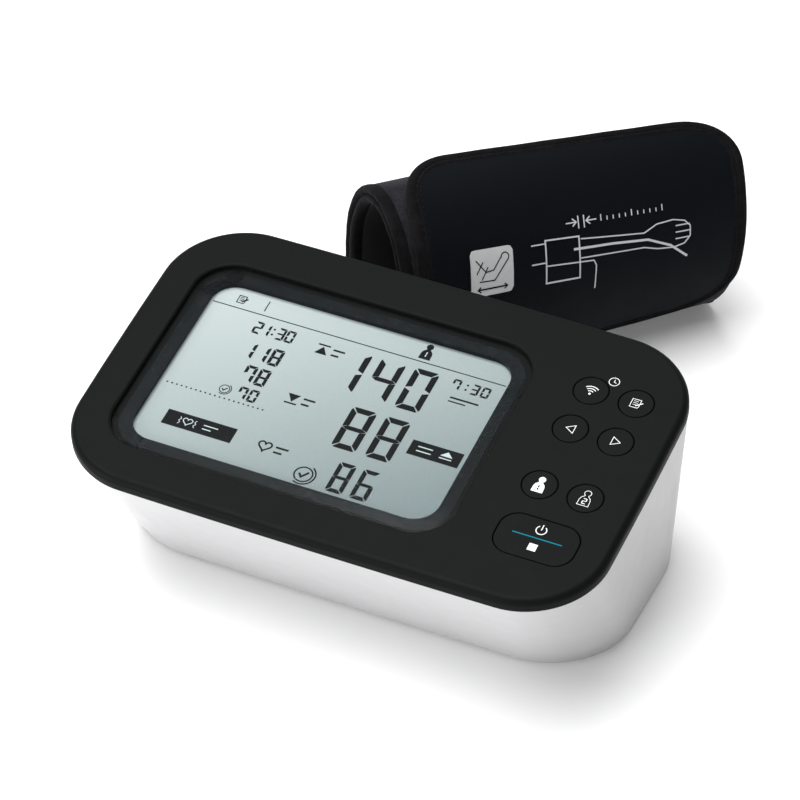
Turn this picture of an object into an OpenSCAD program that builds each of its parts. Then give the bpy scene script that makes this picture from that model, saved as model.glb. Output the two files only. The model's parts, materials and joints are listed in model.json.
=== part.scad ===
// Table-top blood pressure monitor with its rolled arm cuff.
// The console stands in front and the rolled cuff lies behind it, both on one table.
// X runs along the console, Y towards the back, Z up. Lengths are in millimetres.
// The origin is on the table, under the middle of the whole set.

/* [Console] */
// Width of the console
console_w = 191; // [186:1:198]
// Depth of the console in plan
console_d = 120; // [118:1:124]
// Height of the front edge, where the top cover meets the housing
front_h = 54.6; // [53:0.2:58]
// Tilt of the top cover
tilt = 9; // [8:0.5:11]
// How far the foot of the front wall is set back under the front edge
front_undercut = 33; // [30:1:34]
// How far the foot of each side wall is set in
side_inset = 3.8; // [3:0.2:5]
// How far the foot of the rear wall runs out
rear_run = 4; // [2:1:5]
// Corner radius of the console in plan
corner_r = 28; // [26:1:30]
// Outward bow of each side
side_bow = 0.8; // [0:0.1:1.2]
// Wall thickness of the housing
wall = 2.4; // [2:0.2:2.6]
// Thickness of the top cover
cover_t = 4.2; // [4:0.1:4.4]
// Width of the rounded bevel round the top cover
bevel = 2.6; // [1.5:0.1:3]
// Height of the rubber feet below the housing
foot_h = 0.8; // [0.6:0.1:1]

/* [Display] */
// Width of the visible display
lcd_w = 110.6; // [106:0.2:112]
// Height of the visible display along the cover
lcd_h = 74.8; // [72:0.2:76]
// Middle of the display, left of the middle of the cover
lcd_left = 20.3; // [20:0.1:21]
// Middle of the display, up the cover from its front edge
lcd_up = 59.6; // [59:0.1:60]
// Width of the dark surround of the display
surround = 6.4; // [5.5:0.1:6.6]
// Depth of the display window below the cover
window_step = 1; // [0.8:0.1:1.1]

/* [Buttons] */
// Diameter of the round buttons
button_d = 11.7; // [11:0.1:12]
// Middle of the left column of round buttons
column_u = 62.3; // [62:0.1:63]
// Distance between the two columns
column_gap = 16; // [15.5:0.1:16.4]
// Heights of the three button rows up the cover
row_v = [49.4, 75.4, 93.3];
// Size of the start button
start_size = [27.5, 17];
// Middle of the start button
start_at = [70.3, 27.7];
// Gap round each button
button_gap = 0.25; // [0.2:0.05:0.35]

/* [Cuff] */
// Width of the cuff, along its roll
cuff_w = 132; // [125:1:140]
// Half width of the roll at its left end
roll_ry = 31; // [30:0.5:32]
// Half height of the roll at its left end
roll_rz = 43.3; // [42:0.1:44]
// Size of the right end over the left end
roll_taper = 0.93; // [0.9:0.01:1]
// Thickness of the cuff
cuff_t = 3; // [2.8:0.1:3]
// Distance from one turn of the roll to the next
wrap_pitch = 3.4; // [3.4:0.1:3.8]
// How far the free end stands off the roll
tip_lift = 3; // [0:0.5:4]
// Turn of the roll's axis from the length of the console
cuff_yaw = 48; // [44:1:52]
// Middle of the roll's left end, from the middle of the console
cuff_at = [-41.4, 88.4];

/* [Hidden] */
$fn = 64;

// Middle of the console, so that the set's middle is the origin
console_y = -71.23;
arc_steps = 12;
side_steps = 6;
eps = 0.01;
cover_l = console_d / cos(tilt);
column = [column_u, column_u + column_gap];
button_at = [[column[0], row_v[0]], [column[1], row_v[0]], [column[0], row_v[1]],
    [column[1], row_v[1]], [column[0], row_v[2]], [column[1], row_v[2]]];

// Heights below the cover's top face, along the cover's normal
window_t = 1.2;
mask_n = -window_step - window_t;
glass_n = -4;
glass_t = 2;
board_n = -13;
board_t = 1.6;
flange_n = -cover_t - 0.3;
stem_n = board_n + 4.6;
switch_h = 3.2;
under_board = board_n - board_t;

// Heights and places inside the housing
floor_t = 3.6;
floor_z = foot_h + floor_t;
screw_at = [[-50, 55], [50, 55], [49, -19], [85, 3]];
board_screw_at = [[-60, 14.3], [30, 14.3], [-60, 105.4], [30, 105.4], [70.3, 62.5]];
foot_at = [[-55, -20], [-66, 56], [70, -12], [66, 50]];
boss_z = 16;
screw_head_z = 10;
tray_x = [-70.8, -14.8];
tray_y = [-12.5, 48.5];
tray_top = 19.4;
lid_x = [-86, -13.7];
lid_y = [-12, 48];
tongue = 2;
slide_gap = 0.3;
cell_r = 7.2;
cell_l = 49.5;
cell_z = 11.9;
air_y = 20;
air_z = 30;
motor_z = 24;
motor_x = [47, 79];
motor_r = 12;
shaft_r = 1;
shaft_gap = 0.05;
tube_in = 2.6;
tube_out = 3.6;
air_bore = 1.7;
jack_x = -94.2;
jack_bore = 3.6;
jack_depth = 12;
manifold = [[-6, 12, 24], [14, 28, 36]];
manifold_x = 4;
power_x = 25;
power_z = 20;

// Angles round the roll: 90 is the top, 180 the front, 270 the bottom, then inwards
flap_hinge = 240;
wrap_end = 954;
hinge_gap = 0.5;
binding_w = 3.5;
coil_l = cuff_w - 2;

// Depths of the cuff's layers below its outer face
cover_d = 0.9;
curler_d = 1.5;
bladder_d = 2.2;
face_d = 0.7;
padding_d = 2.3;
patch_t = 0.4;

// The flap's outline: places of its root and free end along the roll, and the free end's angles
root_x = [0, cuff_w - 3];
end_x = [9, cuff_w + 4];
end_a = [76, 96];
tape_s = binding_w / cuff_w;
fold_t = 0.76;
fold_gap = 0.0015;
flap_t = [0.003, fold_t - fold_gap];
tip_t = [fold_t + fold_gap, 1 - tape_s];
patch_along = [0.458, 0.608];
patch_across = [0.148, 0.276];

// The air port, at the coil's left end
port_a = 300;
port_r = 2.75;

// ---- Shared shapes

function arc(cx, cy, r, a0) = [for (k = [0:arc_steps]) let (a = a0 + 90 * k / arc_steps)
    [cx + r * cos(a), cy + r * sin(a)]];
function between(p, q) = [for (k = [1:side_steps - 1]) p + (q - p) * k / side_steps];
function rounded(hw, y0, y1, r) = concat(
    arc(hw - r, y1 - r, r, 0), between([hw - r, y1], [r - hw, y1]),
    arc(r - hw, y1 - r, r, 90), between([-hw, y1 - r], [-hw, y0 + r]),
    arc(r - hw, y0 + r, r, 180), between([r - hw, y0], [hw - r, y0]),
    arc(hw - r, y0 + r, r, 270), between([hw, y0 + r], [hw, y1 - r]));
function bowed(p, hw, y0, y1) = let (u = p.x / hw, v = (2 * p.y - y0 - y1) / (y1 - y0))
    [p.x - side_bow * u * v * v, p.y - side_bow * v * u * u];

// Rounded rectangle whose sides bow outwards
module bowed_outline(hw, y0, y1, r)
    polygon([for (p = rounded(hw, y0, y1, r)) bowed(p, hw, y0, y1)]);

// Outline of the cover, drawn in by a margin
module cover_outline(inset = 0)
    bowed_outline(console_w / 2 - inset, inset, cover_l - inset, corner_r - inset);

// Outline of the housing's foot, drawn in by a margin
module foot_outline(inset = 0)
    bowed_outline(console_w / 2 - side_inset - inset, front_undercut - console_d / 2 + inset,
        console_d / 2 + rear_run - inset, corner_r + 2 - inset);

// Plain rounded rectangle about a centre
module soft_rect(size, r) {
    square([size.x - 2 * r, size.y], center = true);
    square([size.x, size.y - 2 * r], center = true);
    for (sx = [-1, 1], sy = [-1, 1])
        translate([sx * (size.x / 2 - r), sy * (size.y / 2 - r)]) circle(r);
}

// Display outline, grown by a margin
module lcd_outline(grow = 0, r = 9)
    translate([-lcd_left, lcd_up]) soft_rect([lcd_w + 2 * grow, lcd_h + 2 * grow], r);

// A flat layer between two heights
module layer(n0, n1) translate([0, 0, n0]) linear_extrude(n1 - n0) children();

// A box given by its two corners
module box(a, b) translate(a) cube(b - a);

// A round bar along X, Y or Z
module bar_x(p, l, r) translate(p) rotate([0, 90, 0]) cylinder(h = l, r = r);
module bar_y(p, l, r) translate(p) rotate([-90, 0, 0]) cylinder(h = l, r = r);

// Console frame, and the cover's own frame: up the slope, and out of its top face
module console() translate([0, console_y, 0]) children();
module on_cover() console() translate([0, -console_d / 2, front_h]) rotate([tilt, 0, 0])
    translate([0, 0, cover_t]) children();
function cover_z(y) = front_h + (y + console_d / 2) * tan(tilt);

// ---- Housing and cover

module housing_body(inset, z0) hull() {
    translate([0, 0, z0]) linear_extrude(eps) foot_outline(inset + 1.6);
    translate([0, 0, z0 + 0.5]) linear_extrude(eps) foot_outline(inset + 0.5);
    translate([0, 0, z0 + 1.6]) linear_extrude(eps) foot_outline(inset);
    translate([0, -console_d / 2, front_h]) rotate([tilt, 0, 0])
        translate([0, 0, -eps]) linear_extrude(eps) cover_outline(inset + 0.15);
}

module above_cover() translate([0, -console_d / 2, front_h]) rotate([tilt, 0, 0])
    translate([-console_w, -console_d, -eps / 2]) cube([2 * console_w, 3 * console_d, 60]);

module lid_channel() {
    box([-2 * console_w, lid_y[0] - slide_gap, -1],
        [lid_x[1] + slide_gap, lid_y[1] + slide_gap, 1.6]);
    box([-2 * console_w, lid_y[0] - tongue - slide_gap, 1.5],
        [lid_x[1] + slide_gap, lid_y[1] + tongue + slide_gap, 2.9]);
}

module lower_housing() color("whitesmoke") console() {
    difference() {
        housing_body(0, foot_h);
        difference() {
            union() {
                housing_body(wall, floor_z);
                intersection() {
                    translate([0, 0, cover_t]) housing_body(wall, floor_z);
                    above_cover();
                }
            }
            for (p = screw_at) translate([p.x, p.y, 0]) cylinder(h = boss_z, r = 4.5);
        }
        above_cover();
        lid_channel();
        box([tray_x[0], tray_y[0], 2], [tray_x[1], tray_y[1], 8]);
        for (p = screw_at) translate([p.x, p.y, -1]) {
            cylinder(h = screw_head_z + 1, r = 3.1);
            cylinder(h = 2 * boss_z, r = 1.7);
        }
        for (p = foot_at) translate([p.x, p.y, -1]) cylinder(h = 2.2 + foot_h, r = 4.5);
        bar_x([-console_w, air_y, air_z], console_w / 2 + 20, 5.6);
        bar_y([power_x, 55, power_z], 40, 4.4);
    }
}

// The rim under the cover that locates it just inside the leaning walls of the housing
module skirt() intersection() {
    on_cover() layer(-cover_t - 2.2, -cover_t + eps) cover_outline(0);
    console() translate([0, 0, 2 * eps]) difference() {
        housing_body(wall + 0.5, floor_z);
        housing_body(wall + 2.1, floor_z - 1);
    }
}

module front_cover() color([0.13, 0.14, 0.14]) {
    difference() {
        union() {
            on_cover() hull() {
                layer(-eps, 0) cover_outline(bevel);
                layer(-0.4, -0.4 + eps) cover_outline(bevel * 0.45);
                layer(-1.5, -1.5 + eps) cover_outline(bevel * 0.1);
                layer(-cover_t, -2.6) cover_outline(0);
            }
            skirt();
            on_cover() for (p = board_screw_at) translate([p.x, p.y, board_n])
                cylinder(h = -board_n - cover_t + eps, r = 2.6);
            console() intersection() {
                translate([0, 0, 0.2]) housing_body(wall + 0.5, floor_z);
                for (p = screw_at) translate([p.x, p.y, boss_z + 0.1])
                    cylinder(h = cover_z(p.y) - boss_z, r = 3.2);
            }
        }
        on_cover() {
            layer(mask_n, 1) lcd_outline(surround, 14);
            layer(-cover_t - 1, 1) lcd_outline(surround - 2, 12);
            for (p = button_at) translate([p.x, p.y, -cover_t - 1])
                cylinder(h = 2 * cover_t, r = button_d / 2 + button_gap);
            translate([start_at.x, start_at.y, 0]) layer(-cover_t - 1, 1)
                soft_rect(start_size + 2 * button_gap * [1, 1], 6.5 + button_gap);
            for (p = board_screw_at) translate([p.x, p.y, board_n - 1])
                cylinder(h = 6, r = 0.9);
        }
        console() for (p = screw_at) translate([p.x, p.y, boss_z - 1])
            cylinder(h = 15, r = 1.4);
    }
}

module rubber_feet() color([0.2, 0.2, 0.2]) console() for (p = foot_at)
    translate([p.x, p.y, 0]) cylinder(h = 1.2 + foot_h, r = 4.5);

module case_screws() color("silver") console() for (p = screw_at)
    translate([p.x, p.y, screw_head_z]) {
        difference() {
            translate([0, 0, -2.2]) cylinder(h = 2.2, r = 2.9);
            for (a = [0, 90]) rotate(a) translate([0, 0, -1.8])
                cube([3.4, 0.8, 1.4], center = true);
        }
        cylinder(h = 18, r = 1.4);
    }

module board_screws() color("silver") on_cover() for (p = board_screw_at)
    translate([p.x, p.y, under_board - 1.5]) {
        cylinder(h = 1.5, r = 2);
        cylinder(h = 1.5 + board_t + 4, r = 0.9);
    }

// ---- Display

module display_window() color([0.8, 0.85, 0.87, 0.35]) on_cover()
    layer(mask_n, -window_step) lcd_outline(surround - 0.05, 14);

module display_mask() color([0.06, 0.06, 0.07]) on_cover() layer(glass_n, mask_n) difference() {
    lcd_outline(surround - 2.05, 12);
    lcd_outline();
}

module lcd_glass() color([0.68, 0.75, 0.76]) on_cover()
    layer(glass_n - glass_t, glass_n) lcd_outline(3.4, 11);

module backlight_panel() color("white") on_cover()
    layer(glass_n - glass_t - 2.4, glass_n - glass_t) lcd_outline(-2, 2);

module strip_slots(w) for (s = [-1, 1])
    translate([-lcd_left, lcd_up + s * (lcd_h / 2 + 1.6)]) square([lcd_w - 8, w], center = true);

module lcd_carrier() color("gainsboro") on_cover() layer(board_n, glass_n - glass_t) difference() {
    lcd_outline(3.8, 3);
    lcd_outline(-2, 2);
    strip_slots(2.4);
}

module lcd_contact_strips() color("lightpink") on_cover()
    layer(board_n, glass_n - glass_t) strip_slots(2.2);

// ---- Board and what is on it

module main_board() color([0.1, 0.38, 0.24]) difference() {
    on_cover() layer(under_board, board_n) difference() {
        translate([0.8, 59.75]) soft_rect([161.4, 97.5], 9);
        for (p = board_screw_at) translate(p) circle(1.1);
    }
    console() for (p = screw_at) translate([p.x, p.y, 20]) cylinder(h = 60, r = 4);
}

module control_chips() color([0.15, 0.15, 0.16]) on_cover() {
    layer(under_board - 1.8, under_board) {
        translate([-20, 74]) square([16, 16], center = true);
        translate([-48, 74]) square([9, 7], center = true);
        translate([36, 62]) square([8, 8], center = true);
    }
    layer(under_board - 4, under_board) translate([-48, 40]) circle(4);
}

module tact(p) translate([p.x, p.y, board_n]) {
    translate([-3, -3, 0]) cube([6, 6, switch_h]);
    cylinder(h = switch_h + 0.4, r = 1.7);
}
module button_switches() color("dimgray") on_cover() {
    for (p = button_at) tact(p);
    tact(start_at);
}

module wireless_module() color([0.1, 0.25, 0.45]) on_cover()
    translate([60, 90, under_board - 2.4]) translate([-9, -6, 0]) cube([18, 12, 2.4]);

module buzzer() color([0.12, 0.12, 0.12]) on_cover()
    translate([-30, 52, under_board - 4]) difference() {
        cylinder(h = 4, r = 8);
        translate([0, 0, -1]) cylinder(h = 2, r = 1);
    }

// Height up the cover of the pressure sensor, above the manifold
sensor_v = (air_y + console_d / 2) / cos(tilt) - 4;
module pressure_sensor() color("gray") on_cover() translate([manifold_x, sensor_v, under_board]) {
    translate([-5, -5, -4.5]) cube([10, 10, 4.5]);
    translate([0, 0, -8.5]) difference() {
        cylinder(h = 4, r = tube_in);
        translate([0, 0, -1]) cylinder(h = 4, r = 1);
    }
}

// ---- Buttons: cap, retaining flange and stem

module button_base(p) translate([p.x, p.y, stem_n]) cylinder(h = flange_n - stem_n, r = 1.6);
module round_button(p) on_cover() {
    translate([p.x, p.y, flange_n]) cylinder(h = -flange_n, r = button_d / 2);
    translate([p.x, p.y, flange_n - 1]) cylinder(h = 1, r = button_d / 2 + 1.4);
    button_base(p);
}
module user_one_button() color([0.16, 0.17, 0.17]) round_button(button_at[0]);
module user_two_button() color([0.16, 0.17, 0.17]) round_button(button_at[1]);
module back_button() color([0.16, 0.17, 0.17]) round_button(button_at[2]);
module forward_button() color([0.16, 0.17, 0.17]) round_button(button_at[3]);
module wireless_button() color([0.16, 0.17, 0.17]) round_button(button_at[4]);
module memory_button() color([0.16, 0.17, 0.17]) round_button(button_at[5]);
module start_button() color([0.16, 0.17, 0.17]) on_cover() {
    translate([start_at.x, start_at.y, 0]) {
        layer(flange_n, 0) soft_rect(start_size, 6.5);
        layer(flange_n - 1, flange_n) soft_rect(start_size + [2.6, 2.6], 7.8);
    }
    button_base(start_at);
}

// ---- Battery compartment, open downwards

module battery_tray() color([0.25, 0.26, 0.27]) console() difference() {
    union() {
        box([tray_x[0] - 1.6, tray_y[0] - 1.6, floor_z],
            [tray_x[1] + 1.6, tray_y[1] + 1.6, tray_top + 1.6]);
        box([tray_x[0] - 1.6, tray_y[0] - 4, floor_z],
            [tray_x[1] + 1.6, tray_y[1] + 4, floor_z + 1.6]);
    }
    box([tray_x[0], tray_y[0], 0], [tray_x[1], tray_y[1], tray_top]);
    for (p = screw_at) translate([p.x, p.y, 0]) cylinder(h = floor_z + 3, r = 5);
}

function cell_y(k) = (tray_y[0] + tray_y[1]) / 2 + (k - 1.5) * 15;
module batteries() color("goldenrod") console() for (k = [0:3]) let (turn = k % 2)
    translate([(tray_x[0] + tray_x[1]) / 2, cell_y(k), cell_z]) rotate([0, 0, 180 * turn]) {
        bar_x([-cell_l / 2, 0, 0], cell_l, cell_r);
        bar_x([cell_l / 2, 0, 0], 1, 2.7);
    }

module battery_contacts() color("silver") console() for (k = [0:3]) let (turn = k % 2)
    translate([(tray_x[0] + tray_x[1]) / 2, cell_y(k), cell_z]) rotate([0, 0, 180 * turn]) {
        box([-28, -5, -5], [-27.6, 5, 5]);
        for (x = [-27.6, -26.6, -25.6]) bar_x([x, 0, 0], 0.5, 3.5 + (x + 25.6) / 2);
        bar_x([-27.6, 0, 0], 27.6 - cell_l / 2, 1.2);
        box([27.6, -5, -5], [28, 5, 5]);
        bar_x([cell_l / 2 + 1, 0, 0], 27.6 - cell_l / 2 - 1, 2);
    }

module battery_cover() color("white") console() difference() {
    union() {
        box([lid_x[0], lid_y[0], 0.9], [lid_x[1], lid_y[1], 2.6]);
        box([lid_x[0], lid_y[0] - tongue, 1.8], [lid_x[1], lid_y[1] + tongue, 2.6]);
    }
    for (k = [0:5]) box([lid_x[0] + 5 + 2.4 * k, 8, 0], [lid_x[0] + 6.2 + 2.4 * k, 28, 1.3]);
}

// ---- Air pump

module pump_motor_case() color("silver") console() difference() {
    bar_x([motor_x[0], air_y, motor_z], motor_x[1] - motor_x[0], motor_r);
    bar_x([motor_x[0] + 1.2, air_y, motor_z], motor_x[1] - motor_x[0] - 2.4, motor_r - 0.8);
    bar_x([motor_x[0] - 1, air_y, motor_z], 60, shaft_r + shaft_gap);
}

module motor_magnets() color("dimgray") console() difference() {
    bar_x([52, air_y, motor_z], 22, motor_r - 0.8);
    bar_x([51, air_y, motor_z], 24, 9.2);
    box([50, air_y - 15, motor_z - 4], [76, air_y + 15, motor_z + 4]);
}

module motor_rotor() color("peru") console() {
    bar_x([33, air_y, motor_z], 49, shaft_r);
    bar_x([52, air_y, motor_z], 22, 8.4);
    bar_x([49.2, air_y, motor_z], 2.8, 3);
    bar_x([34, air_y + 1, motor_z], 6, 4);
}

module pump_head() color([0.85, 0.85, 0.82]) console() difference() {
    union() {
        box([25, air_y - 12, motor_z - 12], [47, air_y + 12, motor_z + 12]);
        bar_x([21, air_y, air_z], 5, tube_in);
    }
    bar_x([30, air_y, motor_z], 18, 8.5);
    bar_x([20, air_y, air_z], 12, air_bore);
}

module pump_cradle() color([0.18, 0.18, 0.18]) console() difference() {
    box([50, air_y - 10, floor_z], [76, air_y + 10, motor_z - 5]);
    bar_x([49, air_y, motor_z], 28, motor_r);
}

// ---- Exhaust valve, manifold, tubes and jacks

module exhaust_valve() color("steelblue") console() difference() {
    union() {
        bar_y([manifold_x, -21, air_z], 20, 7);
        bar_y([manifold_x, -1.5, air_z], 6.5, tube_in);
        box([manifold_x - 4, -18, floor_z], [manifold_x + 4, -6, air_z - 4]);
    }
    bar_y([manifold_x, -22, air_z], 14, 2.05);
    bar_y([manifold_x, -4, air_z], 10, air_bore);
}

module valve_plunger() color("silver") console() {
    bar_y([manifold_x, -24, air_z], 14, 2);
    bar_y([manifold_x, -25, air_z], 1, 3);
}

module sensor_axis() on_cover() translate([manifold_x, sensor_v, 0]) children();

module air_manifold() color("gainsboro") difference() {
    union() {
        console() {
            box(manifold[0], manifold[1]);
            box([-2, 15, floor_z], [10, 25, 24 + eps]);
            bar_x([-12, air_y, air_z], 31, tube_in);
            bar_y([manifold_x, 7, air_z], 10, tube_in);
        }
        sensor_axis() translate([0, 0, -36]) cylinder(h = 8, r = tube_in);
    }
    console() {
        bar_x([-13, air_y, air_z], 33, air_bore);
        bar_y([manifold_x, 6, air_z], 14, air_bore);
    }
    sensor_axis() translate([0, 0, -40]) cylinder(h = 13, r = air_bore);
}

module tube_x(x0, x1) difference() {
    bar_x([x0, air_y, air_z], x1 - x0, tube_out);
    bar_x([x0 - 1, air_y, air_z], x1 - x0 + 2, tube_in);
}
module air_tubes() color([0.3, 0.3, 0.32]) {
    console() {
        tube_x(-77.5, -6.5);
        tube_x(14.5, 24.5);
        difference() {
            bar_y([manifold_x, -0.5, air_z], 12, tube_out);
            bar_y([manifold_x, -2, air_z], 15, tube_in);
        }
    }
    sensor_axis() difference() {
        translate([0, 0, -32]) cylinder(h = 32 + under_board - 4.6, r = tube_out);
        translate([0, 0, -33]) cylinder(h = 30, r = tube_in);
    }
}

module air_jack() color("lightgray") console() difference() {
    union() {
        bar_x([jack_x, air_y, air_z], 16.2, 5.5);
        bar_x([-90, air_y, air_z], 2, 7.5);
        bar_x([-78.5, air_y, air_z], 6.5, tube_in);
    }
    bar_x([jack_x - 1, air_y, air_z], jack_depth + 1, jack_bore);
    bar_x([jack_x, air_y, air_z], 30, air_bore);
}

module power_jack() color([0.1, 0.1, 0.1]) console() {
    difference() {
        union() {
            box([power_x - 5, 48, power_z - 5], [power_x + 5, 60.2, power_z + 5]);
            bar_y([power_x, 60, power_z], 2.4, 4.2);
        }
        bar_y([power_x, 52, power_z], 12, 2.9);
    }
    bar_y([power_x, 51, power_z], 9.5, 0.95);
}

// ---- Cuff: a tapered oval spiral, given by place along it, angle and depth below its outer face

roll_cz = roll_rz - wrap_pitch / 2;
function mix(p, q, t) = p + (q - p) * t;
function wrap_depth(a) = wrap_pitch * (a - 90) / 360
    - tip_lift * pow(max(0, 1 - (a - 90) / 60), 2);
function roll_point(x, a, depth) = let (d = wrap_depth(a) + depth, s = mix(1, roll_taper, x / cuff_w))
    [x, s * (roll_ry - d) * cos(a), s * (roll_cz + (roll_rz - d) * sin(a))];

module cuff() console() translate([cuff_at.x, cuff_at.y, 0]) rotate(cuff_yaw) children();

// A strip swept through a list of stations, each a ring of points that runs along the outer
// face and back along the inner face
module strip(rings) {
    n = len(rings[0]);
    last = len(rings) - 1;
    polyhedron([for (r = rings) each r], concat(
        [for (i = [0:n / 2 - 2]) [n - 1 - i, n - 2 - i, i + 1, i]],
        [for (k = [0:last - 1], j = [0:n - 1]) let (p = n * k + j, q = n * k + (j + 1) % n)
            each j < n / 2 ? [[q, p + n, p], [q + n, p + n, q]] : [[q + n, p + n, p], [q, q + n, p]]],
        [for (i = [0:n / 2 - 2]) [for (j = [i, i + 1, n - 2 - i, n - 1 - i]) n * last + j]]));
}

// One layer of the coil: between two depths and two places along the roll
coil_a = [flap_hinge + hinge_gap, wrap_end];
coil_n = 80;
module coil_layer(d0, d1, x0 = binding_w, x1 = coil_l - binding_w) cuff()
    strip([for (k = [0:coil_n]) let (a = mix(coil_a[0], coil_a[1], k / coil_n))
        [roll_point(x0, a, d0), roll_point(x1, a, d0), roll_point(x1, a, d1), roll_point(x0, a, d1)]]);

module cuff_outer_cover() color([0.22, 0.22, 0.24]) coil_layer(0, cover_d);
module cuff_curler() color("gainsboro") coil_layer(cover_d, curler_d);
module cuff_bladder() color([0.4, 0.4, 0.42]) coil_layer(curler_d, bladder_d);
module cuff_inner_cover() color([0.08, 0.08, 0.09]) coil_layer(bladder_d, cuff_t);
module cuff_binding() color([0.12, 0.12, 0.13]) {
    coil_layer(0, cuff_t, 0, binding_w);
    coil_layer(0, cuff_t, coil_l - binding_w, coil_l);
}

module cuff_air_port() color([0.2, 0.2, 0.2]) cuff()
    translate(roll_point(0, port_a, cuff_t / 2)) difference() {
        union() {
            bar_x([-14, 0, 0], 14, port_r);
            bar_x([-2, 0, 0], 2, port_r + 0.85);
        }
        bar_x([-15, 0, 0], 16, 1.4);
    }

// The flap lies a little askew on the roll. Along it t runs from 0 at its root to 1 at its
// free end, and across it s runs from 0 at its left edge to 1 at its right edge.
function flap_point(s, t, depth) = roll_point(
    mix(mix(root_x[0], end_x[0], t), mix(root_x[1], end_x[1], t), s),
    mix(mix(flap_hinge, end_a[0], t), mix(flap_hinge, end_a[1], t), s), depth);
module flap_layer(d0, d1, t, s = [tape_s, 1 - tape_s], cuts = 6) cuff()
    strip([for (k = [0:flap_n]) let (u = mix(t[1], t[0], k / flap_n)) concat(
        [for (i = [0:cuts]) flap_point(mix(s[0], s[1], i / cuts), u, d0)],
        [for (i = [cuts:-1:0]) flap_point(mix(s[0], s[1], i / cuts), u, d1)])]);
module side_tapes(t) for (s = [[0, tape_s], [1 - tape_s, 1]]) flap_layer(0, cuff_t, t, s, 1);
flap_n = 20;

module flap_face() color([0.1, 0.1, 0.12]) flap_layer(0, face_d, flap_t);
module flap_padding() color([0.3, 0.3, 0.32]) flap_layer(face_d, padding_d, flap_t);
module flap_hook_strip() color([0.15, 0.15, 0.15]) flap_layer(padding_d, cuff_t, flap_t);
module flap_binding() color([0.12, 0.12, 0.13]) side_tapes(flap_t);
module size_patch() color("lightgray") flap_layer(-patch_t, 0, patch_along, patch_across, 1);

// The tip's layers stop short of its free edge, which the tape covers
module tip_face() color([0.1, 0.1, 0.12]) flap_layer(0, face_d, tip_t);
module tip_padding() color([0.3, 0.3, 0.32]) flap_layer(face_d, padding_d, tip_t);
module tip_hook_strip() color([0.15, 0.15, 0.15]) flap_layer(padding_d, cuff_t, tip_t);
module tip_binding() color([0.12, 0.12, 0.13]) {
    side_tapes(tip_t);
    side_tapes([tip_t[1], 1]);
    flap_layer(0, cuff_t, [tip_t[1], 1]);
}

lower_housing();
front_cover();
display_window();
display_mask();
lcd_glass();
backlight_panel();
lcd_carrier();
lcd_contact_strips();
main_board();
control_chips();
button_switches();
wireless_module();
buzzer();
pressure_sensor();
user_one_button();
user_two_button();
back_button();
forward_button();
wireless_button();
memory_button();
start_button();
battery_tray();
batteries();
battery_contacts();
battery_cover();
pump_motor_case();
motor_magnets();
motor_rotor();
pump_head();
pump_cradle();
exhaust_valve();
valve_plunger();
air_manifold();
air_tubes();
air_jack();
power_jack();
rubber_feet();
case_screws();
board_screws();
cuff_outer_cover();
cuff_curler();
cuff_bladder();
cuff_inner_cover();
cuff_binding();
cuff_air_port();
flap_face();
flap_padding();
flap_hook_strip();
flap_binding();
size_patch();
tip_face();
tip_padding();
tip_hook_strip();
tip_binding();
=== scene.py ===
"""Looks of a table-top blood pressure monitor and its rolled arm cuff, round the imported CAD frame.

Lengths are in millimetres until a mesh is made, and metres in Blender.
"""

import json
import math

import bpy
import numpy as np
from mathutils import Matrix, Vector


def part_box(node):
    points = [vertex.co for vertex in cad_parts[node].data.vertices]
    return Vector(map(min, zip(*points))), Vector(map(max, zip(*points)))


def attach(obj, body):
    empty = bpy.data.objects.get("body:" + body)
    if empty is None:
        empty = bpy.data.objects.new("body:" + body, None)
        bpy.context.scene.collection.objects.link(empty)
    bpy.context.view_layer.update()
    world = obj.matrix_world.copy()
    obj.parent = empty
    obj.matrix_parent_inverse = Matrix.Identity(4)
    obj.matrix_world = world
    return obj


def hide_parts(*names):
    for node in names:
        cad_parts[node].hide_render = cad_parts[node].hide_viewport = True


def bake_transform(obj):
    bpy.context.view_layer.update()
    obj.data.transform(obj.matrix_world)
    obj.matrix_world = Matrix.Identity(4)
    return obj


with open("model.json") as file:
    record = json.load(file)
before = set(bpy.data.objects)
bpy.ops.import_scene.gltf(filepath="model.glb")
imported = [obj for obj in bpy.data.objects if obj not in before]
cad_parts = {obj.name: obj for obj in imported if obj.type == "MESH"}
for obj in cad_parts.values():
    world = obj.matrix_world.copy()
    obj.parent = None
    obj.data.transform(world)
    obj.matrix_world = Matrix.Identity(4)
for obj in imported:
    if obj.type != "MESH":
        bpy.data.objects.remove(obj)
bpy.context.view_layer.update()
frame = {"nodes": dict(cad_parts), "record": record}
scene = bpy.context.scene
record = frame["record"]
MM = 0.001

# ---- Console, as the CAD has it

HALF_W, DEPTH, FRONT_H, COVER_T = 95.5, 120.0, 54.6, 4.2
TILT = math.radians(9)
SIN, COS = math.sin(TILT), math.cos(TILT)
COVER_L = DEPTH / COS
CORNER, BOW, WALL = 28.0, 0.8, 2.4
FOOT_HALF, FOOT_FRONT, FOOT_BACK, FOOT_CORNER, FOOT_H = 91.7, -27.0, 64.0, 30.0, 0.8
ROUND_OVER = 2.6
CONSOLE_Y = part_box("front_cover")[0].y / MM + DEPTH / 2 + (COVER_T - ROUND_OVER) * SIN
LCD_AT, LCD_SIZE, LCD_R = (-20.3, 59.6), (110.6, 74.8), 9.0
SURROUND, GLASS_N = 6.4, -4.0
BUTTON_R, BUTTON_GAP = 5.85, 0.25
BUTTON_AT = {
    "user_one_button": (62.3, 49.4),
    "user_two_button": (78.3, 49.4),
    "back_button": (62.3, 75.4),
    "forward_button": (78.3, 75.4),
    "wireless_button": (62.3, 93.3),
    "memory_button": (78.3, 93.3),
}
START_AT, START_SIZE, START_R = (70.3, 27.7), (27.5, 17.0), 6.5


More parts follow.
